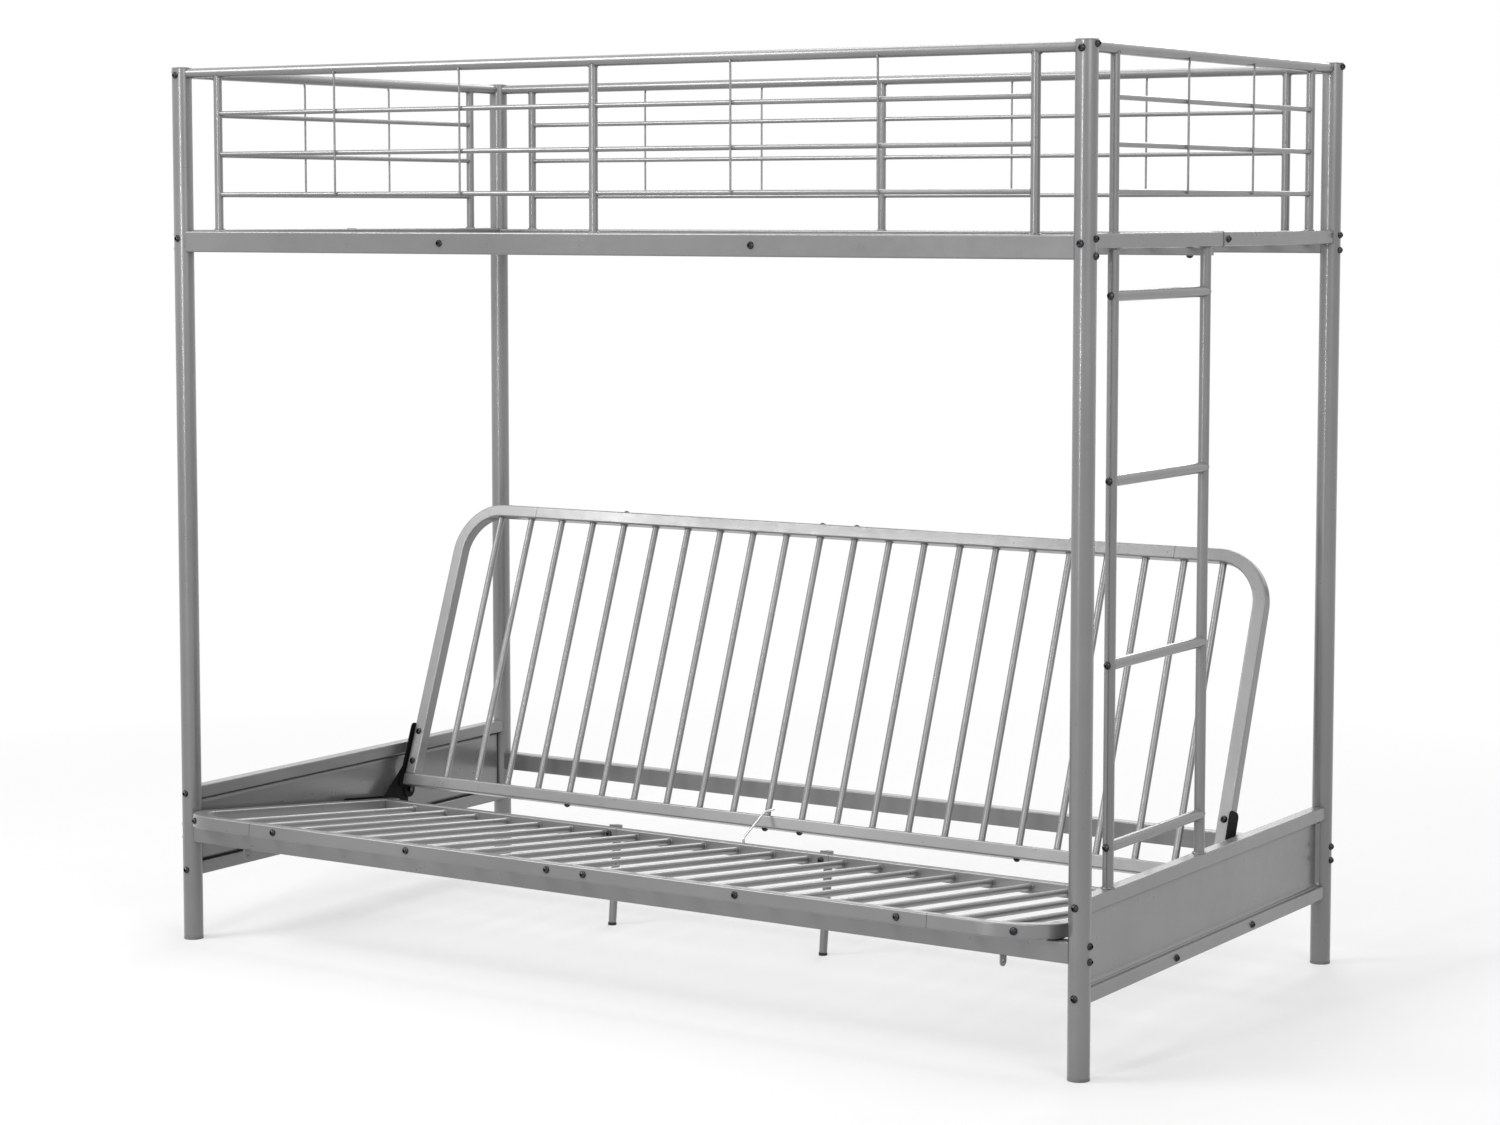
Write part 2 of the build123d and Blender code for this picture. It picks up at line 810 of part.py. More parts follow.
with BuildPart() as rail_tabs:
    for x in (-tab_x, tab_x):
        with BuildSketch(along_x(x - tab_thickness / 2, -post_y, lower_rail_bottom - butt_gap)):
            with BuildLine():
                Polyline(
                    (-tab_width / 2, tab_width / 2 - tab_drop),
                    (-tab_width / 2, 0),
                    (tab_width / 2, 0),
                    (tab_width / 2, tab_width / 2 - tab_drop),
                )
                RadiusArc(
                    (tab_width / 2, tab_width / 2 - tab_drop),
                    (-tab_width / 2, tab_width / 2 - tab_drop),
                    tab_width / 2,
                )
            make_face()
            with Locations((0, tab_width / 2 - tab_drop)):
                Circle(tab_hole_diameter / 2, mode=Mode.SUBTRACT)
        extrude(amount=tab_thickness)
keep("rail_tabs", rail_tabs)

# The seat's own plane: its x along the bed, its y back and down along the slope, its z off the seat.
# The front rail's middle line runs through the plane's origin, and the seat lies on the lower
# front rail's rounded back edge.
slope = math.radians(seat_slope)
seat_half_tube = seat_tube / 2
seat_up = Vector(0, math.sin(slope), math.cos(slope))
rest_edge = Vector(0, -post_y + lower_rail_width / 2 - rail_corner, lower_rail_top - rail_corner)
rest_height = seat_up.dot(rest_edge) + rail_corner + slide_gap + seat_half_tube
seat_front_y = -post_y - seat_overhang
seat_front_z = (rest_height - seat_up.Y * seat_front_y) / seat_up.Z
seat_plane = Plane(origin=(0, seat_front_y, seat_front_z), x_dir=(1, 0, 0), z_dir=seat_up)


def on_seat(x, y, z):
    """A point given in the seat's own plane."""
    return seat_plane.from_local_coords((x, y, z))


def seat_along_x(x, y, z):
    """A plane whose normal is +X, with its sketch's x along the seat's depth and y off the seat."""
    return Plane(origin=on_seat(x, y, z), x_dir=seat_plane.y_dir, z_dir=(1, 0, 0))


def bend_reach(x, side_x, bend_radius, tube):
    """How far a bent corner's inner face stands in from the straight tube's, at a bar by its x."""
    past_tangent = max(abs(x) - (side_x - bend_radius), 0)
    inner_radius = bend_radius - tube / 2
    return inner_radius - math.sqrt(inner_radius**2 - past_tangent**2)


def bent_tube(plane, points, bend_radius, tube, wall, corner):
    """Sweep a rounded square tube along a bent line drawn on the plane."""
    with BuildPart() as bent:
        with BuildLine(plane) as path:
            FilletPolyline(*points, radius=bend_radius)
        section_plane = Plane(origin=path.line @ 0, x_dir=plane.z_dir, z_dir=path.line % 0)
        with BuildSketch(section_plane) as section:
            RectangleRounded(tube, tube, corner)
            RectangleRounded(tube - 2 * wall, tube - 2 * wall, corner - wall, mode=Mode.SUBTRACT)
        sweep(section.sketch, path=path.line)
    return bent.part


# Seat slats and the bolts that hold every few of them to the front rail
seat_side_x = post_x - post_radius - seat_side_clearance - seat_half_tube
seat_joint_x = seat_side_x - seat_bend_radius - seat_joint_straight
slat_half_xs = even_pairs(seat_side_x - slat_side_space, slat_pairs)
slat_xs = [side * x for x in slat_half_xs for side in (left, right)]
slat_radius = seat_slat_diameter / 2
seat_bolt_length = seat_tube + bolt_engagement
seat_bolt_xs = [
    side * x for x in slat_half_xs[::seat_bolt_step] for side in (left, right) if x < seat_joint_x
]
seat_forward = -seat_plane.y_dir
seat_bolt_places = [
    Plane(origin=on_seat(x, -seat_half_tube, 0), x_dir=(1, 0, 0), z_dir=seat_forward) for x in seat_bolt_xs
]
bend_angle = math.radians(seat_bend_bolt_angle)


def bend_bolt_plane(side, radius, outward):
    """A plane on the seat's bent corner, at a radius from the bend's centre, facing out or in."""
    across = side * (seat_side_x - seat_bend_radius + radius * math.sin(bend_angle))
    deep = seat_bend_radius - radius * math.cos(bend_angle)
    direction = seat_plane.x_dir * (side * math.sin(bend_angle)) - seat_plane.y_dir * math.cos(bend_angle)
    return Plane(origin=on_seat(across, deep, 0), x_dir=seat_up, z_dir=direction * outward)


outer_bend = seat_bend_radius + seat_half_tube
inner_bend = seat_bend_radius - seat_half_tube
bend_bolt_places = [bend_bolt_plane(side, outer_bend, 1) for side in (left, right)]
bend_nut_places = [bend_bolt_plane(side, inner_bend - butt_gap, -1) for side in (left, right)]
bend_bolt_length = seat_tube + nut_height + bolt_tip_gap

with BuildPart() as seat_front_rail:
    rounded_tube(
        seat_along_x(-seat_joint_x + seam_gap, 0, 0),
        2 * (seat_joint_x - seam_gap),
        seat_tube,
        seat_tube,
        seat_wall,
        seat_corner,
    )
    cut_round(seat_bolt_places, hole_radius, seat_tube + overrun)
keep("seat_front_rail", seat_front_rail)

# The seat's side rails are bent round into the front rail and carry the hinges at the back
seat_side_end = seat_depth + seat_half_tube + seat_side_overhang
pivot_y = seat_depth + pivot_behind_seat_rail
hinge_bolt_ys = [pivot_y - seat_plate_bolt_first, pivot_y - seat_plate_bolt_second]
seat_outer_x = seat_side_x + seat_half_tube
seat_plate_inner_x = seat_outer_x + plate_gap + plate_thickness + plate_gap
seat_plate_outer_x = seat_plate_inner_x + plate_thickness
seat_plate_bolt_length = seat_plate_outer_x - seat_outer_x + seat_tube - seat_wall
seat_hinge_bolt_places = {
    side: [
        Plane(origin=on_seat(side * seat_plate_outer_x, y, 0), x_dir=seat_up, z_dir=(side, 0, 0))
        for y in hinge_bolt_ys
    ]
    for side in (left, right)
}
for name, side, bend_place in (
    ("seat_left_rail", left, bend_bolt_places[0]),
    ("seat_right_rail", right, bend_bolt_places[1]),
):
    with BuildPart() as seat_side_rail:
        add(
            bent_tube(
                seat_plane,
                [(side * seat_joint_x, 0), (side * seat_side_x, 0), (side * seat_side_x, seat_side_end)],
                seat_bend_radius,
                seat_tube,
                seat_wall,
                seat_corner,
            )
        )
        cut_round([bend_place], hole_radius, seat_tube + overrun)
        cut_round(seat_hinge_bolt_places[side], hole_radius, seat_plate_bolt_length)
    keep(name, seat_side_rail)

# The seat's rear rail is three lengths of tube; both legs and the wire link hold on to it
leg_xs = [leg_left_aside - slat_half_xs[leg_left_slat], slat_half_xs[leg_right_slat] + leg_right_aside]
leg_plate_y = seat_depth + seat_half_tube + butt_gap
leg_bolt_places = [
    Plane(
        origin=on_seat(x + leg_bolt_aside, seat_depth - seat_half_tube, 0),
        x_dir=(1, 0, 0),
        z_dir=seat_forward,
    )
    for x in leg_xs
]
leg_bolt_length = seat_tube + leg_plate_thickness
link_x = back_bar_diameter / 2 + link_side_gap + link_diameter / 2 - slat_half_xs[0]
link_hole_y = seat_depth - seat_half_tube / 2
rear_rail_half = seat_side_x - seat_half_tube - butt_gap
rear_joints = [x + rear_joint_from_leg for x in leg_xs]
with BuildPart() as seat_rear_rail:
    rounded_tube(
        seat_along_x(-rear_rail_half, seat_depth, 0),
        2 * rear_rail_half,
        seat_tube,
        seat_tube,
        seat_wall,
        seat_corner,
    )
    for x in rear_joints:
        with Locations(Plane(origin=on_seat(x, seat_depth, 0), x_dir=(1, 0, 0), z_dir=seat_up)):
            Box(seam_gap, seat_tube + overrun, seat_tube + overrun, mode=Mode.SUBTRACT)
    cut_round(leg_bolt_places, hole_radius, seat_tube + overrun)
    cut_round(
        [Plane(origin=on_seat(link_x, link_hole_y, seat_half_tube), x_dir=(1, 0, 0), z_dir=seat_up)],
        link_diameter / 2 + hole_gap,
        seat_wall + overrun,
    )
keep("seat_rear_rail", seat_rear_rail)

# Sleeves inside the butted joints of the seat's tubes
sleeve_size = seat_tube - 2 * (seat_wall + joiner_gap)
with BuildPart() as seat_sleeves:
    for x in (-seat_joint_x, seat_joint_x):
        rounded_tube(
            seat_along_x(x - sleeve_length / 2, 0, 0),
            sleeve_length,
            sleeve_size,
            sleeve_size,
            joiner_wall,
            seat_corner - seat_wall,
        )
    for x in rear_joints:
        rounded_tube(
            seat_along_x(x - sleeve_length / 2, seat_depth, 0),
            sleeve_length,
            sleeve_size,
            sleeve_size,
            joiner_wall,
            seat_corner - seat_wall,
        )
    cut_round(leg_bolt_places, hole_radius, seat_tube + overrun)
keep("seat_sleeves", seat_sleeves)

rear_face = seat_depth - seat_half_tube - butt_gap
with BuildPart() as seat_slats:
    for x in slat_xs:
        slat_start = (
            seat_half_tube
            + butt_gap
            + bend_reach(abs(x) + slat_radius, seat_side_x, seat_bend_radius, seat_tube)
        )
        round_tube(
            Plane(origin=on_seat(x, slat_start, 0), x_dir=(1, 0, 0), z_dir=seat_plane.y_dir),
            rear_face - slat_start,
            seat_slat_diameter,
            seat_slat_wall,
        )
keep("seat_slats", seat_slats)

# Bolts, nuts and spacer rings of the seat; the spacers keep its hinge plates off the side rails
with BuildPart() as seat_bolts:
    place_copies(button_bolt(seat_bolt_length), seat_bolt_places)
    place_copies(button_bolt(bend_bolt_length), bend_bolt_places)
    place_copies(hex_nut(), bend_nut_places)
    place_copies(button_bolt(leg_bolt_length), leg_bolt_places)
    for side in (left, right):
        place_copies(button_bolt(seat_plate_bolt_length), seat_hinge_bolt_places[side])
    for side in (left, right):
        for y in hinge_bolt_ys:
            spacer_place = on_seat(side * seat_outer_x, y, 0)
            with BuildSketch(Plane(origin=spacer_place, x_dir=seat_up, z_dir=(side, 0, 0))):
                Circle(bolt_head_diameter / 2)
                Circle(hole_radius, mode=Mode.SUBTRACT)
            extrude(amount=seat_plate_inner_x - seat_outer_x)
keep("seat_bolts", seat_bolts)

# Plugs in the open back ends of the seat's side rails
with BuildPart() as seat_end_plugs:
    for side in (left, right):
        plug_start = Plane(
            origin=on_seat(side * seat_side_x, seat_side_end - tube_plug_depth, 0),
            x_dir=(1, 0, 0),
            z_dir=seat_plane.y_dir,
        )
        with BuildSketch(plug_start):
            RectangleRounded(sleeve_size, sleeve_size, seat_corner - seat_wall)
        extrude(amount=tube_plug_depth)
        with BuildSketch(plug_start.offset(tube_plug_depth)):
            RectangleRounded(seat_tube, seat_tube, seat_corner)
        extrude(amount=tube_plug_lip)
keep("seat_end_plugs", seat_end_plugs)

# Legs: tapered tubes square to the seat, each welded to a plate on the back of the rear rail
leg_down = -seat_up
leg_axis_y = leg_plate_y + leg_plate_thickness + leg_top_diameter / 2
leg_top_rise = seat_half_tube + leg_plate_rise
leg_tops = [on_seat(x, leg_axis_y, leg_top_rise) for x in leg_xs]
leg_length = (leg_tops[0].Z - glide_height) / seat_up.Z
with BuildPart() as seat_legs:
    for x, leg_top in zip(leg_xs, leg_tops):
        top_plane = Plane(origin=leg_top, x_dir=(1, 0, 0), z_dir=leg_down)
        with BuildSketch(top_plane):
            Circle(leg_top_diameter / 2)
        with BuildSketch(top_plane.offset(leg_length)):
            Circle(leg_foot_diameter / 2)
        loft()
        with BuildSketch(top_plane.offset(leg_wall)):
            Circle(leg_top_diameter / 2 - leg_wall)
        with BuildSketch(top_plane.offset(leg_length)):
            Circle(leg_foot_diameter / 2 - leg_wall)
        loft(mode=Mode.SUBTRACT)
        plate_origin = on_seat(x, leg_plate_y, leg_plate_rise / 2)
        plate_plane = Plane(origin=plate_origin, x_dir=(1, 0, 0), z_dir=seat_plane.y_dir)
        with BuildSketch(plate_plane):
            Rectangle(leg_plate_width, seat_tube + leg_plate_rise)
        extrude(amount=leg_plate_thickness + leg_top_diameter / 4)
    cut_round(leg_bolt_places, hole_radius, seat_tube + leg_plate_thickness + overrun)
keep("seat_legs", seat_legs)

with BuildPart() as leg_glides:
    for leg_top in leg_tops:
        glide_plane = Plane(origin=leg_top, x_dir=(1, 0, 0), z_dir=leg_down).offset(leg_length + butt_gap)
        with BuildSketch(glide_plane):
            Circle(glide_diameter / 2)
        extrude(amount=2 * glide_height)
    split(bisect_by=Plane.XY, keep=Keep.TOP)
keep("leg_glides", leg_glides)

# Hinge pivot and the back's own plane: its x along the bed, its y up the back, its z out of its front
tilt = math.radians(back_tilt)
back_up = Vector(0, math.sin(tilt), math.cos(tilt))
back_front = Vector(0, -math.cos(tilt), math.sin(tilt))
pivot = on_seat(0, pivot_y, pivot_above_seat)
back_plane = Plane(
    origin=pivot + back_up * pivot_below_back + back_front * pivot_behind_back,
    x_dir=(1, 0, 0),
    z_dir=back_front,
)
back_half_tube = back_tube / 2


def on_back(x, y, z):
    """A point given in the back's own plane."""
    return back_plane.from_local_coords((x, y, z))


def back_along_x(x, y, z):
    """A plane whose normal is +X, with its sketch's x along the back's height and y off its front."""
    return Plane(origin=on_back(x, y, z), x_dir=back_plane.y_dir, z_dir=(1, 0, 0))


# Bolts through the back's top and bottom rails into some of its bars
back_side_x = seat_side_x
back_joint_x = back_side_x - back_bend_radius - back_joint_straight
back_bolt_xs = [
    side * slat_half_xs[index] for index in (back_bolt_first, back_bolt_second) for side in (left, right)
]
top_bolt_places = [
    Plane(origin=on_back(x, back_height + back_half_tube, 0), x_dir=(1, 0, 0), z_dir=back_up)
    for x in back_bolt_xs
]
bottom_bolt_places = [
    Plane(origin=on_back(x, -back_half_tube, 0), x_dir=(1, 0, 0), z_dir=-back_up) for x in back_bolt_xs
]
stile_bolt_places = {
    side: [
        Plane(origin=on_back(side * back_side_x, y, back_half_tube), x_dir=(1, 0, 0), z_dir=back_front)
        for y in (stile_bolt_low, stile_bolt_high)
    ]
    for side in (left, right)
}
back_outer_x = back_side_x + back_half_tube
stile_bolt_length = back_tube + butt_gap + plate_thickness + nut_height + bolt_tip_gap

with BuildPart() as back_bottom_rail:
    rounded_tube(
        back_along_x(-back_outer_x, 0, 0), 2 * back_outer_x, back_tube, back_tube, seat_wall, seat_corner
    )
    cut_round(bottom_bolt_places, hole_radius, back_tube + overrun)
keep("back_bottom_rail", back_bottom_rail)

with BuildPart() as back_top_rail:
    rounded_tube(
        back_along_x(-back_joint_x + seam_gap, back_height, 0),
        2 * (back_joint_x - seam_gap),
        back_tube,
        back_tube,
        seat_wall,
        seat_corner,
    )
    cut_round(top_bolt_places, hole_radius, back_tube + overrun)
keep("back_top_rail", back_top_rail)

for name, side in (("back_left_rail", left), ("back_right_rail", right)):
    with BuildPart() as back_side_rail:
        add(
            bent_tube(
                back_plane,
                [
                    (side * back_side_x, back_half_tube + butt_gap),
                    (side * back_side_x, back_height),
                    (side * back_joint_x, back_height),
                ],
                back_bend_radius,
                back_tube,
                seat_wall,
                seat_corner,
            )
        )
        cut_round(stile_bolt_places[side], hole_radius, back_tube + overrun)
    keep(name, back_side_rail)

with BuildPart() as back_sleeves:
    for x in (-back_joint_x, back_joint_x):
        rounded_tube(
            back_along_x(x - sleeve_length / 2, back_height, 0),
            sleeve_length,
            sleeve_size,
            sleeve_size,
            joiner_wall,
            seat_corner - seat_wall,
        )
keep("back_sleeves", back_sleeves)

bar_start = back_half_tube + butt_gap
back_bar_radius = back_bar_diameter / 2
with BuildPart() as back_bars:
    for x in slat_xs:
        bar_end = (
            back_height
            - back_half_tube
            - butt_gap
            - bend_reach(abs(x) + back_bar_radius, back_side_x, back_bend_radius, back_tube)
        )
        round_tube(
            Plane(origin=on_back(x, bar_start, 0), x_dir=(1, 0, 0), z_dir=back_up),
            bar_end - bar_start,
            back_bar_diameter,
            back_bar_wall,
        )
keep("back_bars", back_bars)

nut_place_offset = back_half_tube + butt_gap + plate_thickness
stile_nut_places = [
    Plane(origin=on_back(side * back_side_x, y, -nut_place_offset), x_dir=(1, 0, 0), z_dir=-back_front)
    for side in (left, right)
    for y in (stile_bolt_low, stile_bolt_high)
]
with BuildPart() as back_bolts:
    place_copies(button_bolt(back_tube + bolt_engagement), top_bolt_places + bottom_bolt_places)
    for side in (left, right):
        place_copies(button_bolt(stile_bolt_length), stile_bolt_places[side])
    place_copies(hex_nut(), stile_nut_places)
keep("back_bolts", back_bolts)

# Hinge plates on the back: a flat arm outside the stile, with a flange behind the stile
pin_radius = pin_diameter / 2
back_plate_start = back_outer_x + plate_gap
plate_front = back_half_tube + back_plate_front_reach
plate_back = -(back_half_tube + butt_gap + plate_thickness)


def hinge_side_plane(side, start):
    """The plane of a hinge plate: it starts at x = start and grows outwards."""
    return Plane(
        origin=on_back(side * start, 0, 0), x_dir=back_plane.y_dir * side, z_dir=(side, 0, 0)
    )


with BuildPart() as back_hinge_plates:
    for side in (left, right):
        pivot_spot = (-side * pivot_below_back, -pivot_behind_back)
        with BuildSketch(hinge_side_plane(side, back_plate_start)):
            with Locations((side * (back_plate_top - pivot_below_back) / 2, (plate_front + plate_back) / 2)):
                RectangleRounded(back_plate_top + pivot_below_back, plate_front - plate_back, plate_corner)
            with Locations(pivot_spot):
                Circle(hinge_lobe_radius)
                Circle(pin_radius + pivot_gap, mode=Mode.SUBTRACT)
        extrude(amount=plate_thickness)
        flange_plane = Plane(
            origin=on_back(
                side * (back_plate_start + plate_thickness - flange_width / 2),
                (flange_bottom + back_plate_top - plate_corner) / 2,
                plate_back,
            ),
            x_dir=(1, 0, 0),
            z_dir=back_front,
        )
        with BuildSketch(flange_plane):
            Rectangle(flange_width, back_plate_top - plate_corner - flange_bottom)
        extrude(amount=plate_thickness)
        cut_round(stile_bolt_places[side], hole_radius, stile_bolt_length)
keep("back_hinge_plates", back_hinge_plates)

# Hinge plates on the seat: a flat arm along the side rail, a web that rises from it beside the
# back's stile, and a lobe round the pivot
seat_plate_front = pivot_y - seat_plate_length
seat_plate_top = seat_half_tube + seat_plate_rise
web_points = [
    (pivot_y - seat_web_length, seat_plate_top),
    (pivot_y - seat_web_top, seat_plate_top + seat_web_height),
    (pivot_y, seat_plate_top + seat_web_height),
    (pivot_y + hinge_lobe_radius, pivot_above_seat),
    (pivot_y, seat_plate_top),
]
with BuildPart() as seat_hinge_plates:
    for side in (left, right):
        plate_plane = Plane(
            origin=on_seat(side * seat_plate_inner_x, 0, 0),
            x_dir=seat_plane.y_dir * side,
            z_dir=(side, 0, 0),
        )
        with BuildSketch(plate_plane):
            with Locations(
                (side * (seat_plate_front + pivot_y) / 2, seat_plate_top - seat_plate_height / 2)
            ):
                RectangleRounded(seat_plate_length, seat_plate_height, plate_corner)
            with BuildLine():
                Polyline(*[(side * y, z) for y, z in web_points], close=True)
            make_face()
            with Locations((side * pivot_y, pivot_above_seat)):
                Circle(hinge_lobe_radius)
                Circle(pin_radius + pivot_gap, mode=Mode.SUBTRACT)
        extrude(amount=plate_thickness)
        cut_round(seat_hinge_bolt_places[side], hole_radius, seat_plate_bolt_length)
keep("seat_hinge_plates", seat_hinge_plates)

# Hinge pins: a headed pin through both plates, with a collar on the inside
with BuildPart() as hinge_pins:
    for side in (left, right):
        pin_in = back_plate_start - butt_gap - nut_height
        with BuildSketch(Plane(origin=pivot, x_dir=(0, 1, 0), z_dir=(side, 0, 0)).offset(pin_in)):
            Circle(pin_radius)
        extrude(amount=seat_plate_outer_x + plate_gap - pin_in)
        head_plane = Plane(origin=pivot, x_dir=(0, 1, 0), z_dir=(side, 0, 0))
        with BuildSketch(head_plane.offset(seat_plate_outer_x + plate_gap)):
            Circle(pin_head_diameter / 2)
        extrude(amount=pin_head_height)
        with BuildSketch(head_plane.offset(pin_in)):
            RegularPolygon(nut_width / 2, 6, major_radius=False)
        extrude(amount=nut_height)
keep("hinge_pins", hinge_pins)

# Wire link: it stands in the rear rail's top wall and reaches over the back's bottom rail
rail_top_corner = on_back(0, back_half_tube, back_half_tube)
link_start = on_seat(link_x, link_hole_y, seat_half_tube - 2 * seat_wall)
link_low = on_seat(link_x, link_hole_y, seat_half_tube + link_start_rise)
link_top_z = back_plane.origin.Z + link_rise
link_path = [
    link_start,
    link_low,
    Vector(link_x, rail_top_corner.Y - link_bend_radius, link_top_z),
    Vector(link_x, back_plane.origin.Y + link_run_past_rail, link_top_z),
]
with BuildPart() as wire_link:
    with BuildLine() as link_line:
        FilletPolyline(*link_path, radius=link_bend_radius / 2)
    with BuildSketch(Plane(origin=link_line.line @ 0, z_dir=link_line.line % 0)):
        Circle(link_diameter / 2)
    sweep(path=link_line.line)
keep("wire_link", wire_link)

# Put the origin on the floor under the middle of the whole bed, and write every piece
whole_box = Compound(children=[Compound(builder.part.solids()) for builder in pieces.values()]).bounding_box()
to_origin = Location((-whole_box.center().X, -whole_box.center().Y, -whole_box.min.Z))
for name, builder in pieces.items():
    piece = builder.part.moved(to_origin)
    piece.label = name
    export_step(piece, f"parts/{name}.step")

moved_pivot = pivot + to_origin.position
print(f"bed box: {whole_box.size.X:.2f} x {whole_box.size.Y:.2f} x {whole_box.size.Z:.2f} mm")
print(f"moved by {to_origin.position.X:.3f}, {to_origin.position.Y:.3f}, {to_origin.position.Z:.3f} mm")
print(f"hinge axis at Y {moved_pivot.Y:.3f}, Z {moved_pivot.Z:.3f} mm")
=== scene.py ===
"""Looks of a metal loft bed with a sofa under it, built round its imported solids.

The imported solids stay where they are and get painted, plated or moulded finishes. The fine work
that a welder and a press leave on such a bed is added here: weld beads, bent wires, rolled
rims and the pressed sheets of the end panels. A white studio with soft lamps stands round it.
Lengths are in metres, X along the bed, Y from front to back and Z up.
"""

import logging
import math
from dataclasses import dataclass, field
from enum import Enum
from typing import Callable, Dict, List, Optional, Sequence, Tuple

import bmesh
import bpy
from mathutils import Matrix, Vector

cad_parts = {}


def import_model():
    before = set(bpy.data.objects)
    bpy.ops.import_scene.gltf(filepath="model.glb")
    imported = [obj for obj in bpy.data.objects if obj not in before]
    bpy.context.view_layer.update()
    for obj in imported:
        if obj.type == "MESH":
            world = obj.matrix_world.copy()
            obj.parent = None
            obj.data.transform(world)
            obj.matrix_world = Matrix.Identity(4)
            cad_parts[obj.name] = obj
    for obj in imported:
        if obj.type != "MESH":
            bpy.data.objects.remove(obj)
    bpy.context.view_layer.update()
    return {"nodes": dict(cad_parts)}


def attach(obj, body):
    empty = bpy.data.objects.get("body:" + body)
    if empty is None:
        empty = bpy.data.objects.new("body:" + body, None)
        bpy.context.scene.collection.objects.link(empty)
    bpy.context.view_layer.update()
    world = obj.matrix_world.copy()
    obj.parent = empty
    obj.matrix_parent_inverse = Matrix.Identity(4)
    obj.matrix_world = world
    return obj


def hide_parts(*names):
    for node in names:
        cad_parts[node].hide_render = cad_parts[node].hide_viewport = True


LOG = logging.getLogger("loft_bed")
Colour = Tuple[float, float, float]
Span = Tuple[float, float]
FULL: Span = (0.0, 1.0)
WHITE = (1.0, 1.0, 1.0, 1.0)


class Body(Enum):
    """The bodies that move against each other."""

    FRAME = "frame"
    SEAT = "seat"
    BACK = "back"


class Slot(Enum):
    """The material slots of the part's record."""

    POWDER_COAT = "powder_coat"
    FASTENERS = "zinc_fasteners"
    BLACK_PLATE = "black_plate"
    BLACK_PLASTIC = "black_plastic"
    GREY_PLASTIC = "grey_plastic"
    WIRE = "steel_wire"


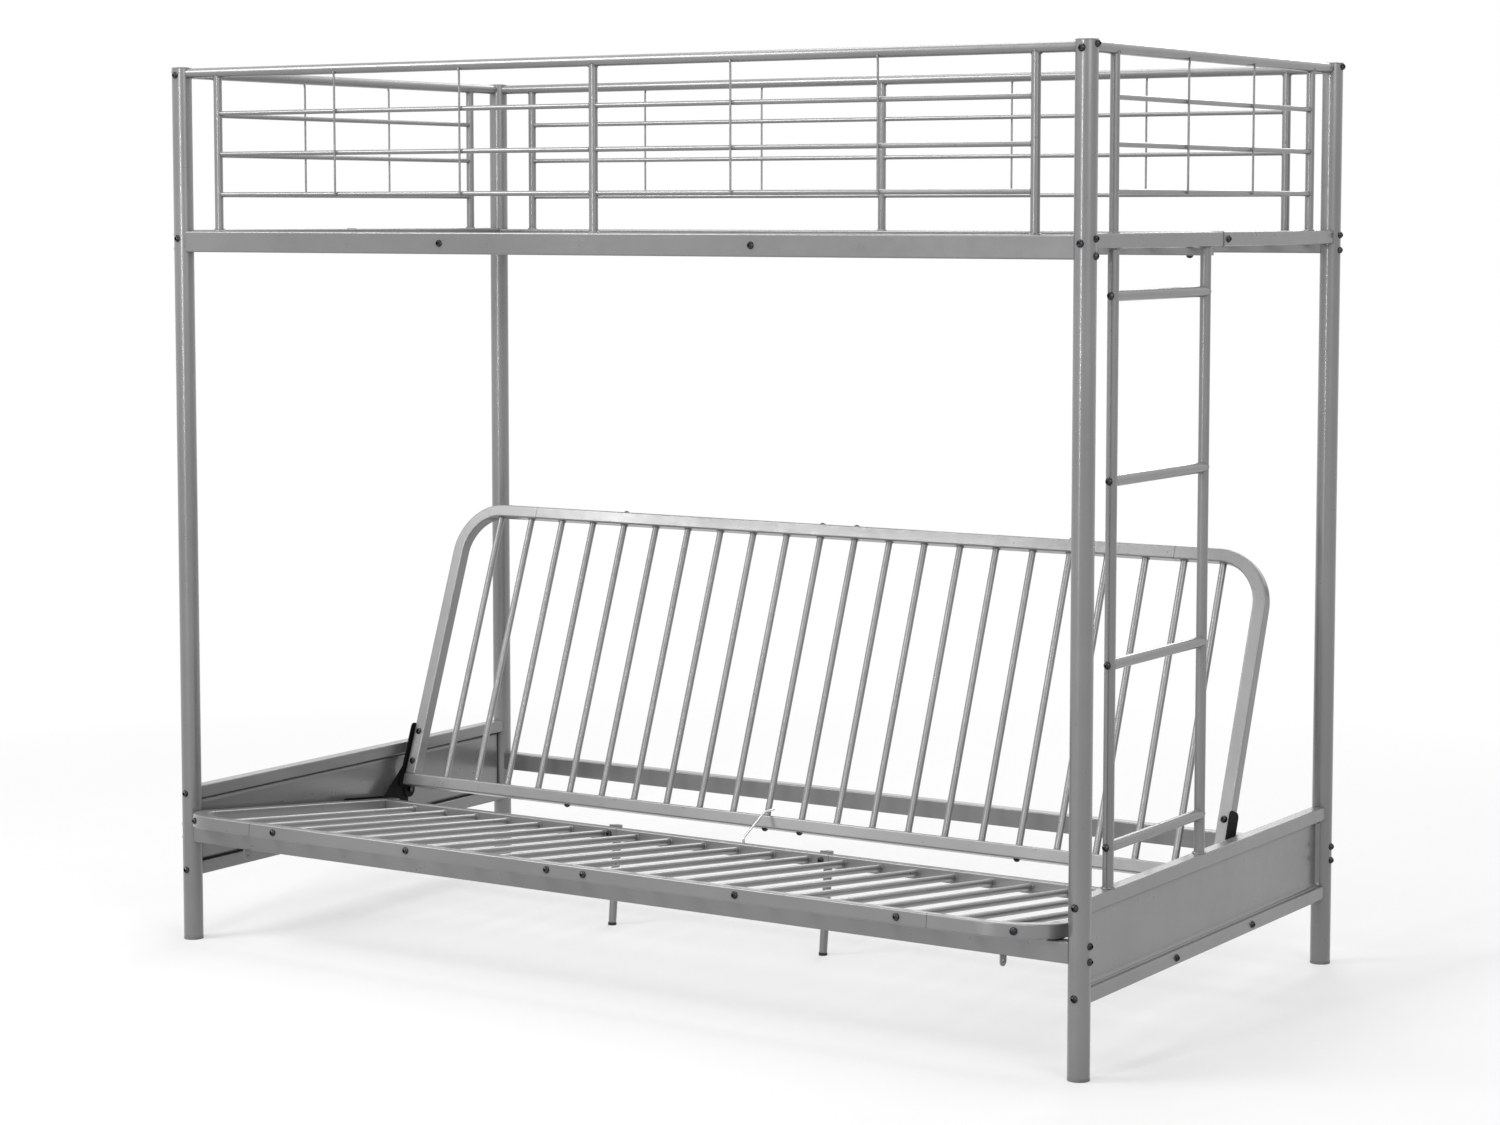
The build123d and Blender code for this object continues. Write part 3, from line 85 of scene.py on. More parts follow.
class ShaderBench:
    """One new material and short ways to add nodes to it."""

    SHADE_SAMPLES = 4

    def __init__(self, name: str) -> None:
        """Make the material.

        Args:
            name: The material's name.
        """
        self.material = bpy.data.materials.new(name)
        self.material.use_nodes = True
        self.nodes = self.material.node_tree.nodes
        self.links = self.material.node_tree.links
        self.shader = self.nodes["Principled BSDF"]
        self.place = self.nodes.new("ShaderNodeTexCoord").outputs["Object"]

    def set(self, socket: str, value: object) -> None:
        """Set one of the shader's own sockets."""
        self.shader.inputs[socket].default_value = value

    def join(self, output: bpy.types.NodeSocket, socket: str) -> None:
        """Link an output to one of the shader's sockets."""
        self.links.new(output, self.shader.inputs[socket])

    def stretched(self, scale: Tuple[float, float, float]) -> bpy.types.NodeSocket:
        """Object coordinates stretched by a scale on each axis.

        Args:
            scale: The scale along X, Y and Z.

        Returns:
            The stretched coordinates.
        """
        mapping = self.nodes.new("ShaderNodeMapping")
        mapping.inputs["Scale"].default_value = scale
        self.links.new(self.place, mapping.inputs["Vector"])
        return mapping.outputs["Vector"]

    def noise(
        self,
        scale: float,
        layers: float = 1.0,
        fineness: float = 0.5,
        place: Optional[bpy.types.NodeSocket] = None,
    ) -> bpy.types.NodeSocket:
        """Noise over the surface.

        Args:
            scale: Ripples to the metre.
            layers: How many finer layers it has.
            fineness: How strong the finer layers are.
            place: Coordinates, if not the object's own.

        Returns:
            The noise's value, from 0 to 1.
        """
        node = self.nodes.new("ShaderNodeTexNoise")
        node.inputs["Scale"].default_value = scale
        node.inputs["Detail"].default_value = layers
        node.inputs["Roughness"].default_value = fineness
        self.links.new(place or self.place, node.inputs["Vector"])
        return node.outputs["Fac"]

    def cells(self, scale: float) -> bpy.types.NodeSocket:
        """Grey cells of one random shade each.

        Args:
            scale: Cells to the metre.

        Returns:
            A colour socket with one shade to a cell.
        """
        node = self.nodes.new("ShaderNodeTexVoronoi")
        node.inputs["Scale"].default_value = scale
        self.links.new(self.place, node.inputs["Vector"])
        return node.outputs["Color"]

    def spread(
        self, value: bpy.types.NodeSocket, source: Span, target: Span
    ) -> bpy.types.NodeSocket:
        """Move a value from one range to another.

        Args:
            value: The value to move.
            source: The range that it has.
            target: The range that it gets.

        Returns:
            The moved value.
        """
        node = self.nodes.new("ShaderNodeMapRange")
        sockets = ("From Min", "From Max", "To Min", "To Max")
        for socket, number in zip(sockets, source + target):
            node.inputs[socket].default_value = number
        self.links.new(value, node.inputs["Value"])
        return node.outputs["Result"]

    def blend(
        self, factor: bpy.types.NodeSocket, first: object, second: object
    ) -> bpy.types.NodeSocket:
        """Blend two colours.

        Args:
            factor: How much of the second colour there is.
            first: A colour, or the socket that gives one.
            second: A colour, or the socket that gives one.

        Returns:
            The blended colour.
        """
        node = self.nodes.new("ShaderNodeMix")
        node.data_type = "RGBA"
        sockets = {socket.identifier: socket for socket in node.inputs}
        self.links.new(factor, sockets["Factor_Float"])
        for key, colour in (("A_Color", first), ("B_Color", second)):
            if isinstance(colour, bpy.types.NodeSocket):
                self.links.new(colour, sockets[key])
            else:
                sockets[key].default_value = (*colour, 1.0)
        return next(socket for socket in node.outputs if socket.identifier == "Result_Color")

    def bump(
        self,
        height: bpy.types.NodeSocket,
        strength: float,
        distance: float,
        under: Optional[bpy.types.NodeSocket] = None,
    ) -> bpy.types.NodeSocket:
        """Raise a surface by a height.

        Args:
            height: The height, from 0 to 1.
            strength: How strongly it tells.
            distance: The height of 1 in metres.
            under: The normal of a coarser bump, if there is one.

        Returns:
            The new normal.
        """
        node = self.nodes.new("ShaderNodeBump")
        node.inputs["Strength"].default_value = strength
        node.inputs["Distance"].default_value = distance
        self.links.new(height, node.inputs["Height"])
        if under is not None:
            self.links.new(under, node.inputs["Normal"])
        return node.outputs["Normal"]

    def corner_shade(self, reach: float) -> bpy.types.NodeSocket:
        """How open a spot lies: 1 on open faces and less in corners.

        Args:
            reach: How far from a corner it tells, in metres.

        Returns:
            The openness.
        """
        node = self.nodes.new("ShaderNodeAmbientOcclusion")
        node.samples = self.SHADE_SAMPLES
        node.inputs["Distance"].default_value = reach
        return node.outputs["AO"]


@dataclass(frozen=True)
class PowderCoat:
    """Silver powder coat: fine metal flakes in a satin paint with a slight orange peel, and
    painted shade in its corners.
    """

    name: str = "silver_powder_coat"
    light: Colour = (0.268, 0.265, 0.266)
    dark: Colour = (0.224, 0.222, 0.226)
    # Painted shade: the dark grey that corners and joints are darkened towards.
    painted_corner_shade: Colour = (0.105, 0.104, 0.106)
    flake: Colour = (0.42, 0.42, 0.42)
    metallic: float = 0.44
    roughness: Span = (0.27, 0.38)
    coat: float = 0.5
    coat_roughness: float = 0.12
    drifts_to_metre: float = 3.1
    drift_layers: float = 3.0
    drift_span: Span = (0.34, 0.66)
    flakes_to_metre: float = 2600.0
    flake_span: Span = (0.62, 1.0)
    flake_share: float = 0.22
    corner_reach: float = 0.012
    corner_span: Span = (0.30, 0.92)
    painted_corner_shade_share: float = 0.55
    sheens_to_metre: float = 46.0
    sheen_layers: float = 4.0
    sheen_fineness: float = 0.62
    sheen_span: Span = (0.3, 0.7)
    waves_to_metre: float = 95.0
    wave_height: float = 0.0004
    wave_strength: float = 0.035
    peels_to_metre: float = 1150.0
    peel_height: float = 0.00011
    peel_strength: float = 0.04

    def make(self) -> bpy.types.Material:
        """Make the material.

        Returns:
            The paint.
        """
        bench = ShaderBench(self.name)
        drifts = bench.noise(self.drifts_to_metre, self.drift_layers)
        drifts = bench.spread(drifts, self.drift_span, FULL)
        colour = bench.blend(drifts, self.dark, self.light)
        cells = bench.cells(self.flakes_to_metre)
        flakes = bench.spread(cells, self.flake_span, (0.0, self.flake_share))
        colour = bench.blend(flakes, colour, self.flake)
        # Painted shade: darken the colour towards a dark grey in corners and where parts meet, as
        # the occlusion mask finds them.
        openness = bench.corner_shade(self.corner_reach)
        corners = bench.spread(openness, self.corner_span, (self.painted_corner_shade_share, 0.0))
        colour = bench.blend(corners, colour, self.painted_corner_shade)
        bench.join(colour, "Base Color")
        sheens = bench.noise(self.sheens_to_metre, self.sheen_layers, self.sheen_fineness)
        bench.join(bench.spread(sheens, self.sheen_span, self.roughness), "Roughness")
        waves = bench.noise(self.waves_to_metre)
        waved = bench.bump(waves, self.wave_strength, self.wave_height)
        peels = bench.noise(self.peels_to_metre)
        bench.join(bench.bump(peels, self.peel_strength, self.peel_height, waved), "Normal")
        bench.set("Metallic", self.metallic)
        bench.set("Coat Weight", self.coat)
        bench.set("Coat Roughness", self.coat_roughness)
        return bench.material


@dataclass(frozen=True)
class PlatedSteel:
    """Bare or zinc-plated steel, brushed in small patches, with painted shade in its corners."""

    name: str
    light: Colour
    dark: Colour
    roughness: Span
    # Painted shade: the near black that the metal's corners are darkened towards.
    painted_recess_shade: Colour = (0.055, 0.055, 0.060)
    painted_recess_shade_share: float = 0.35
    corner_reach: float = 0.004
    corner_span: Span = (0.25, 0.95)
    patches_to_metre: float = 130.0
    patch_layers: float = 3.0
    patch_span: Span = (0.35, 0.68)
    strokes_to_metre: Tuple[float, float, float] = (900.0, 900.0, 90.0)
    stroke_layers: float = 2.0
    stroke_fineness: float = 0.6
    stroke_span: Span = (0.25, 0.75)
    stroke_height: float = 0.00006
    stroke_strength: float = 0.12

    def make(self) -> bpy.types.Material:
        """Make the material.

        Returns:
            The metal.
        """
        bench = ShaderBench(self.name)
        patches = bench.noise(self.patches_to_metre, self.patch_layers)
        patches = bench.spread(patches, self.patch_span, FULL)
        colour = bench.blend(patches, self.light, self.dark)
        # Painted shade: darken the metal towards near black in corners and where parts meet, as
        # the occlusion mask finds them.
        openness = bench.corner_shade(self.corner_reach)
        corners = bench.spread(openness, self.corner_span, (self.painted_recess_shade_share, 0.0))
        colour = bench.blend(corners, colour, self.painted_recess_shade)
        bench.join(colour, "Base Color")
        place = bench.stretched(self.strokes_to_metre)
        strokes = bench.noise(1.0, self.stroke_layers, self.stroke_fineness, place)
        bench.join(bench.spread(strokes, self.stroke_span, self.roughness), "Roughness")
        bench.join(bench.bump(strokes, self.stroke_strength, self.stroke_height), "Normal")
        bench.set("Metallic", 1.0)
        return bench.material


@dataclass(frozen=True)
class Moulded:
    """Moulded plastic or black paint with a fine eggshell grain."""

    name: str
    light: Colour
    dark: Colour
    roughness: Span
    specular: float = 0.45
    scuffs_to_metre: float = 60.0
    scuff_layers: float = 5.0
    scuff_fineness: float = 0.65
    scuff_span: Span = (0.42, 0.75)
    sheens_to_metre: float = 210.0
    sheen_layers: float = 3.0
    sheen_span: Span = (0.3, 0.7)
    grains_to_metre: float = 1500.0
    grain_height: float = 0.00010
    grain_strength: float = 0.3

    def make(self) -> bpy.types.Material:
        """Make the material.

        Returns:
            The plastic or paint.
        """
        bench = ShaderBench(self.name)
        scuffs = bench.noise(self.scuffs_to_metre, self.scuff_layers, self.scuff_fineness)
        scuffs = bench.spread(scuffs, self.scuff_span, FULL)
        bench.join(bench.blend(scuffs, self.dark, self.light), "Base Color")
        sheens = bench.noise(self.sheens_to_metre, self.sheen_layers)
        bench.join(bench.spread(sheens, self.sheen_span, self.roughness), "Roughness")
        grains = bench.noise(self.grains_to_metre)
        bench.join(bench.bump(grains, self.grain_strength, self.grain_height), "Normal")
        bench.set("Specular IOR Level", self.specular)
        return bench.material


class FinishRack:
    """All finishes, each made once and handed out by its slot."""

    def __init__(self) -> None:
        """Make every finish."""
        self.paint = PowderCoat().make()
        self.weld = PowderCoat(
            name="silver_powder_coat_on_welds",
            light=(0.26, 0.258, 0.26),
            dark=(0.20, 0.199, 0.202),
            roughness=(0.30, 0.5),
            peel_height=0.00018,
        ).make()
        self.by_slot: Dict[Slot, bpy.types.Material] = {
            Slot.POWDER_COAT: self.paint,
            Slot.FASTENERS: PlatedSteel(
                name="zinc_plated_bolts",
                light=(0.062, 0.063, 0.066),
                dark=(0.020, 0.021, 0.022),
                roughness=(0.04, 0.09),
            ).make(),
            Slot.BLACK_PLATE: Moulded(
                name="black_painted_plate",
                light=(0.008, 0.008, 0.0084),
                dark=(0.0035, 0.0035, 0.0038),
                roughness=(0.5, 0.65),
                specular=0.10,
            ).make(),
            Slot.BLACK_PLASTIC: Moulded(
                name="black_plastic",
                light=(0.024, 0.024, 0.025),
                dark=(0.012, 0.012, 0.013),
                roughness=(0.42, 0.6),
            ).make(),
            Slot.GREY_PLASTIC: Moulded(
                name="grey_plastic",
                light=(0.30, 0.30, 0.305),
                dark=(0.24, 0.24, 0.245),
                roughness=(0.36, 0.52),
            ).make(),
            Slot.WIRE: PlatedSteel(
                name="bright_wire",
                light=(0.72, 0.72, 0.71),
                dark=(0.50, 0.50, 0.50),
                roughness=(0.16, 0.30),
                # Less painted shade in the wire's corners.
                painted_recess_shade_share=0.15,
            ).make(),
        }

    def dress_nodes(self, nodes: Dict[str, bpy.types.Object]) -> None:
        """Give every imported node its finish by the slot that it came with.

        Args:
            nodes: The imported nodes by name.
        """
        for name, node in nodes.items():
            for slot in node.material_slots:
                base_name = slot.material.name.split(".")[0]
                slot.material = self.by_slot[Slot(base_name)]
            LOG.info("dressed %s", name)


class PieceBench:
    """One new piece, whose faces are collected in a bmesh."""

    BEAD_SEGMENTS = 28
    BEAD_STEPS = 4
    BURIED_SHARE = 0.35
    CREST_SHARE = 0.98
    RIPPLES = 7
    RIPPLE_SHARE = 0.14
    LUMPS = 3
    LUMP_SHARE = 0.07
    LUMP_SHIFT = 2.1
    TIP_SHARE = 0.5

    def __init__(self, name: str) -> None:
        """Start an empty piece.

        Args:
            name: The piece's name.
        """
        self.name = name
        self.mesh = bmesh.new()

    def turned(
        self,
        origin: Vector,
        axis: Vector,
        section: Sequence[Tuple[float, float]],
        segments: int,
        swell: Callable[[float], float],
        lift: Optional[Callable[[float], float]],
        across: Optional[Vector],
    ) -> None:
        """Turn a closed section round an axis.

        Args:
            origin: Where the axis starts.
            axis: The direction of the axis.
            section: Points as radius and height, in order round the section.
            segments: How many steps the turn has.
            swell: Gives a factor for the section's size at an angle, about its first point.
            lift: Gives a height to add at an angle, if there is one.
            across: The direction of angle 0, square to the axis, if it matters.
        """
        axis = axis.normalized()
        start = (across or axis.orthogonal()).normalized()
        side = axis.cross(start)
        rings: List[List[bmesh.types.BMVert]] = []
        root_radius, root_height = section[0]
        for step in range(segments):
            angle = 2 * math.pi * step / segments
            outward = start * math.cos(angle) + side * math.sin(angle)
            raised = lift(angle) if lift else 0.0
            size = swell(angle)
            ring = []
            for radius, height in section:
                reach = root_radius + (radius - root_radius) * size
                rise = root_height + (height - root_height) * size + raised
                ring.append(self.mesh.verts.new(origin + outward * reach + axis * rise))
            rings.append(ring)
        count = len(section)
        for step in range(segments):
            near, far = rings[step], rings[(step + 1) % segments]
            for index in range(count):
                after = (index + 1) % count
                self.mesh.faces.new((near[index], far[index], far[after], near[after]))

    def bead(
        self,
        origin: Vector,
        axis: Vector,
        radius: float,
        size: float,
        phase: float = 0.0,
        rail_radius: Optional[float] = None,
        rail_way: Optional[Vector] = None,
    ) -> None:
        """A weld bead round the foot of a round rod.

        Args:
            origin: The middle of the rod's foot, on the face or crest that it is welded to.
            axis: The way that the rod runs from there.
            radius: The rod's radius.
            size: The bead's size.
            phase: Turns the ripples, so that neighbours differ.
            rail_radius: The radius of a round rail under the rod, if it is round.
            rail_way: The way that a round rail runs.
        """
        buried = size * self.BURIED_SHARE
        turns = [step * math.pi / 2 / self.BEAD_STEPS for step in range(self.BEAD_STEPS + 1)]
        section = [(radius - buried, -buried)]
        section += [(radius + size * math.cos(turn), size * math.sin(turn)) for turn in turns]

        def follow(angle: float) -> float:
            """Follow the round rail as it falls away under the rod.

            Args:
                angle: The angle round the rod.

            Returns:
                The height to add there, which is below zero.
            """
            reach = abs((radius + size / 2) * math.sin(angle))
            reach = min(reach, rail_radius * self.CREST_SHARE)
            return -(rail_radius - math.sqrt(rail_radius**2 - reach**2))

        def ripple(angle: float) -> float:
            """The ripples that the torch leaves.

            Args:
                angle: The angle round the rod.

            Returns:
                The factor for the bead's size there.
            """
            ripples = self.RIPPLE_SHARE * math.sin(self.RIPPLES * angle + phase)
            lumps = self.LUMP_SHARE * math.sin(self.LUMPS * angle + self.LUMP_SHIFT * phase)
            return 1.0 + ripples + lumps

        self.turned(
            origin,
            axis,
            section,
            segments=self.BEAD_SEGMENTS,
            swell=ripple,
            lift=follow if rail_radius else None,
            across=rail_way,
        )

    def rod(self, points: Sequence[Vector], radius: float, sides: int = 12) -> None:
        """A round rod along a line of points, closed by small domes at its ends.

        Args:
            points: The line's points.
            radius: The rod's radius.
            sides: How many sides its section has.
        """
        rings: List[List[bmesh.types.BMVert]] = []
        way = (points[1] - points[0]).normalized()
        start = way.orthogonal().normalized()
        for index, point in enumerate(points):
            before = points[max(index - 1, 0)]
            after = points[min(index + 1, len(points) - 1)]
            new_way = (after - before).normalized()
            start = (start - new_way * start.dot(new_way)).normalized()
            side = new_way.cross(start)
            ring = []
            for step in range(sides):
                turn = 2 * math.pi * step / sides
                outward = start * math.cos(turn) + side * math.sin(turn)
                ring.append(self.mesh.verts.new(point + outward * radius))
            rings.append(ring)
        for near, far in zip(rings, rings[1:]):
            self.sleeve(near, far)
        for ring, point, sign in ((rings[0], points[0], -1), (rings[-1], points[-1], 1)):
            way = (points[1] - points[0]) if sign < 0 else (points[-1] - points[-2])
            tip = self.mesh.verts.new(point + way.normalized() * sign * radius * self.TIP_SHARE)
            for index in range(sides):
                corners = [ring[index], ring[(index + 1) % sides], tip]
                self.mesh.faces.new(corners if sign > 0 else corners[::-1])

    def strip(
        self, near: Sequence[bmesh.types.BMVert], far: Sequence[bmesh.types.BMVert]
    ) -> None:
        """A strip of faces between two open rows of points."""
        for index in range(len(near) - 1):
            self.mesh.faces.new((near[index], far[index], far[index + 1], near[index + 1]))

    def sleeve(
        self, near: Sequence[bmesh.types.BMVert], far: Sequence[bmesh.types.BMVert]
    ) -> None:
        """A band of faces between two closed rings of points."""
        for index in range(len(near)):
            after = (index + 1) % len(near)
            self.mesh.faces.new((near[index], near[after], far[after], far[index]))

    def to_object(self, material: bpy.types.Material) -> bpy.types.Object:
        """Turn the collected faces into an object.

        Args:
            material: Its finish.

        Returns:
            The new object.
        """
        data = bpy.data.meshes.new(self.name)
        self.mesh.to_mesh(data)
        self.mesh.free()
        data.materials.append(material)
        piece = bpy.data.objects.new(self.name, data)
        bpy.context.scene.collection.objects.link(piece)
        return piece

    def finish(self, body: Body, material: bpy.types.Material) -> bpy.types.Object:
        """Turn all faces outward, smooth the piece and put it on its body.

        Args:
            body: The body that it moves with.
            material: Its finish.

        Returns:
            The new object.
        """
        bmesh.ops.recalc_face_normals(self.mesh, faces=self.mesh.faces)
        piece = self.to_object(material)
        faces = piece.data.polygons
        faces.foreach_set("use_smooth", [True] * len(faces))
        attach(piece, body.value)
        LOG.info("made %s with %d faces", self.name, len(faces))
        return piece


@dataclass(frozen=True)
class FramePlaces:
    """Sizes and places that the frame's pieces share."""

    middle_y: float = 0.039033
    post_x: float = 0.9715
    post_y: float = 0.5015
    rail_half_width: float = 0.0125
    deck_top: float = 1.385
    end_rail_top: float = 1.3875
    end_rail_under: float = 1.3625
    panel_top_under: float = 0.277
    panel_top_over: float = 0.302
    panel_bottom_over: float = 0.151

    def side_y(self, side: int) -> float:
        """The Y of the front (-1) or back (1) posts."""
        return self.middle_y + side * self.post_y


@dataclass
class Guards:
    """Weld beads and bent wires of the guards round the bed."""

    finishes: FinishRack
    places: FramePlaces
    rail_z: float = 1.687
    rail_radius: float = 0.0095
    upright_radius: float = 0.008
    bar_radius: float = 0.0045
    wire_radius: float = 0.002
    bar_zs: Tuple[float, ...] = (1.609, 1.532, 1.455)
    long_upright_xs: Tuple[float, ...] = (-0.88, 0.0, 0.88)
    end_upright_ys: Tuple[float, ...] = (-0.4, 0.4)
    bays: int = 3
    long_wire_bays: Tuple[float, ...] = (-2.0, -1.0, 1.0, 2.0)
    end_wire_bays: Tuple[float, ...] = (-0.5, 0.5)
    bend_height: float = 0.013
    bend_out: float = 0.0016
    bend_steps: int = 5
    foot_bead: float = 0.0022
    head_bead: float = 0.0020
    bar_bead: float = 0.0014
    wire_spot: float = 0.0016
    wire_bead: float = 0.0019
    sink_share: float = 0.6
    spot_share: float = 0.9
    foot_phase: float = 1.7
    head_phase: float = 2.3
    bar_phase: float = 40.0
    wire_phase: float = 30.0

    def build(self) -> None:
        """Make the guards' pieces."""
        self.weld_uprights()
        self.bend_wires()

    def upright_feet(self) -> List[Tuple[Vector, Vector, Tuple[int, ...]]]:
        """Where the uprights stand.

        Returns:
            For each upright its foot, the way that its guard runs, and the turns (-1 back along
            that way, 1 on along it) in which a bar leaves it.
        """
        along, back = Vector((1, 0, 0)), Vector((0, 1, 0))
        feet: List[Tuple[Vector, Vector, Tuple[int, ...]]] = []
        for side in (-1, 1):
            for x in self.long_upright_xs:
                foot = Vector((x, self.places.side_y(side), self.places.deck_top))
                feet.append((foot, along, self.bar_turns(x, self.long_upright_xs)))
        for side in (-1, 1):
            for y in self.end_upright_ys:
                foot_x, foot_y = side * self.places.post_x, self.places.middle_y + y
                foot = Vector((foot_x, foot_y, self.places.end_rail_top))
                feet.append((foot, back, self.bar_turns(y, self.end_upright_ys)))
        return feet

    def bar_turns(self, place: float, row: Sequence[float]) -> Tuple[int, ...]:
        """The turns in which bars leave the upright at a place in its row."""
        return tuple(turn for turn in (-1, 1) if place != (min(row) if turn < 0 else max(row)))

    def weld_uprights(self) -> None:
        """Beads at both ends of each upright and where the bars meet them."""
        bench = PieceBench("guard_welds")
        up = Vector((0, 0, 1))
        for number, (foot, way, turns) in enumerate(self.upright_feet()):
            phase = number * self.foot_phase
            bench.bead(foot, up, self.upright_radius, self.foot_bead, phase)
            crest = Vector((foot.x, foot.y, self.rail_z - self.rail_radius))
            bench.bead(
                crest,
                -up,
                self.upright_radius,
                self.head_bead,
                number * self.head_phase,
                self.rail_radius,
                way,
            )
            for bar_z in self.bar_zs:
                for turn in turns:
                    meet = Vector((foot.x, foot.y, bar_z)) + way * turn * self.upright_radius
                    bench.bead(
                        meet,
                        way * turn,
                        self.bar_radius,
                        self.bar_bead,
                        number + bar_z * self.bar_phase,
                        self.upright_radius,
                        up,
                    )
        bench.finish(Body.FRAME, self.finishes.weld)

    def wire_places(self) -> List[Tuple[Vector, Vector]]:
        """Where the wires stand.

        Returns:
            For each wire its point of the guard's middle plane, and the way out from there.
        """
        spots = []
        long_bay = max(self.long_upright_xs) / self.bays
        end_bay = (max(self.end_upright_ys) - min(self.end_upright_ys)) / self.bays
        for side in (-1, 1):
            for bay in self.long_wire_bays:
                middle = Vector((bay * long_bay, self.places.side_y(side), 0.0))
                spots.append((middle, Vector((0, side, 0))))
            for bay in self.end_wire_bays:
                wire_y = self.places.middle_y + bay * end_bay
                middle = Vector((side * self.places.post_x, wire_y, 0.0))
                spots.append((middle, Vector((side, 0, 0))))
        return spots

    def bend_wires(self) -> None:
        """Wires outside the bars, whose tops are bent out a little to meet the top rail's side."""
        bench = PieceBench("guard_wires_bent")
        welds = PieceBench("guard_wire_welds")
        offset = self.bar_radius + self.wire_radius
        bottom = min(self.bar_zs) - self.bar_radius * self.sink_share
        meet_offset = offset + self.bend_out
        meet_z = self.rail_z - math.sqrt(self.rail_radius**2 - meet_offset**2)
        for number, (middle, out) in enumerate(self.wire_places()):
            points = [middle + out * offset + Vector((0, 0, bottom))]
            points += [middle + out * offset + Vector((0, 0, z)) for z in self.bar_zs[::-1]]
            for step in range(self.bend_steps + 1):
                share = step / self.bend_steps
                reach = offset + self.bend_out * share * share * (3 - 2 * share)
                rise = meet_z - self.bend_height * (1 - share)
                points.append(middle + out * reach + Vector((0, 0, rise)))
            bench.rod(points, self.wire_radius)
            for bar_z in self.bar_zs:
                spot = middle + out * (self.bar_radius * self.spot_share)
                spot += Vector((0, 0, bar_z))
                phase = number + bar_z * self.wire_phase
                welds.bead(spot, out, self.wire_spot, self.wire_bead, phase)
        wires = bench.finish(Body.FRAME, self.finishes.paint)
        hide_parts("guard_wires")
        welds.finish(Body.FRAME, self.finishes.weld)


@dataclass
class Deck:
    """Weld beads of the bed deck's slats, and the rolled rims where its end rails are joined."""

    finishes: FinishRack
    places: FramePlaces
    slat_z: float = 1.369
    slat_radius: float = 0.0065
    slat_pitch: float = 0.08
    slat_pairs: int = 12
    slat_bead: float = 0.0017
    slat_phase: float = 1.3
    rim_start: float = 0.0004
    rim_section: Tuple[Tuple[float, float], ...] = (
        (-0.0005, 0.0),
        (0.0008, 0.0001),
        (0.0014, 0.0009),
        (0.0014, 0.0026),
        (0.0008, 0.0034),
        (-0.0005, 0.0036),
    )
    rim_corner: float = 0.0030
    corner_steps: int = 4

    def build(self) -> None:
        """Make the deck's pieces."""
        self.weld_slats()
        self.roll_rims()

    def rim_outline(self, proud: float) -> List[Tuple[float, float]]:
        """The rounded square round an end rail.

        Args:
            proud: How far it stands off the rail's faces.

        Returns:
            Points across and up, from the rail's middle line.
        """
        half = self.places.rail_half_width + proud
        corner = self.rim_corner + proud
        points = []
        for quarter, (across, up) in enumerate(((1, 1), (-1, 1), (-1, -1), (1, -1))):
            for step in range(self.corner_steps + 1):
                angle = math.pi / 2 * (quarter + step / self.corner_steps)
                point_across = across * (half - corner) + corner * math.cos(angle)
                point_up = up * (half - corner) + corner * math.sin(angle)
                points.append((point_across, point_up))
        return points

    def roll_rims(self) -> None:
        """A rolled rim on the rear half of each end rail, where it meets the front half."""
        bench = PieceBench("end_rail_rims")
        middle_z = (self.places.end_rail_top + self.places.end_rail_under) / 2
        for side in (-1, 1):
            middle_x = side * self.places.post_x
            loops = []
            for proud, back in self.rim_section:
                y = self.places.middle_y + self.rim_start + back
                loop = [
                    bench.mesh.verts.new(Vector((middle_x + across, y, middle_z + up)))
                    for across, up in self.rim_outline(proud)
                ]
                loops.append(loop)
            for near, far in zip(loops, loops[1:] + loops[:1]):
                bench.sleeve(near, far)
        bench.finish(Body.FRAME, self.finishes.weld)

    def weld_slats(self) -> None:
        """Beads at both ends of every slat."""
        bench = PieceBench("deck_welds")
        inner = self.places.post_y - self.places.rail_half_width
        for number in range(self.slat_pairs):
            for side in (-1, 1):
                x = side * self.slat_pitch * (number + 0.5)
                for end in (-1, 1):
                    meet = Vector((x, self.places.middle_y + end * inner, self.slat_z))
                    way = Vector((0, -end, 0))
                    phase = number * self.slat_phase + side + end
                    bench.bead(meet, way, self.slat_radius, self.slat_bead, phase)
        bench.finish(Body.FRAME, self.finishes.weld)


@dataclass
class Ladder:
    """Weld beads at both ends of the ladder's stiles."""

    finishes: FinishRack
    places: FramePlaces
    stile_ys: Tuple[float, ...] = (-0.400, -0.045)
    stile_radius: float = 0.0095
    foot_bead: float = 0.0026
    head_bead: float = 0.0024
    stile_phase: float = 2.0

    def build(self) -> None:
        """Make the ladder's pieces."""
        bench = PieceBench("ladder_welds")
        up = Vector((0, 0, 1))
        for number, y in enumerate(self.stile_ys):
            stile_y = self.places.middle_y + y
            phase = number * self.stile_phase
            foot = Vector((self.places.post_x, stile_y, self.places.panel_top_over))
            bench.bead(foot, up, self.stile_radius, self.foot_bead, phase)
            head = Vector((foot.x, foot.y, self.places.end_rail_under))
            bench.bead(head, -up, self.stile_radius, self.head_bead, phase + 1)
        bench.finish(Body.FRAME, self.finishes.weld)


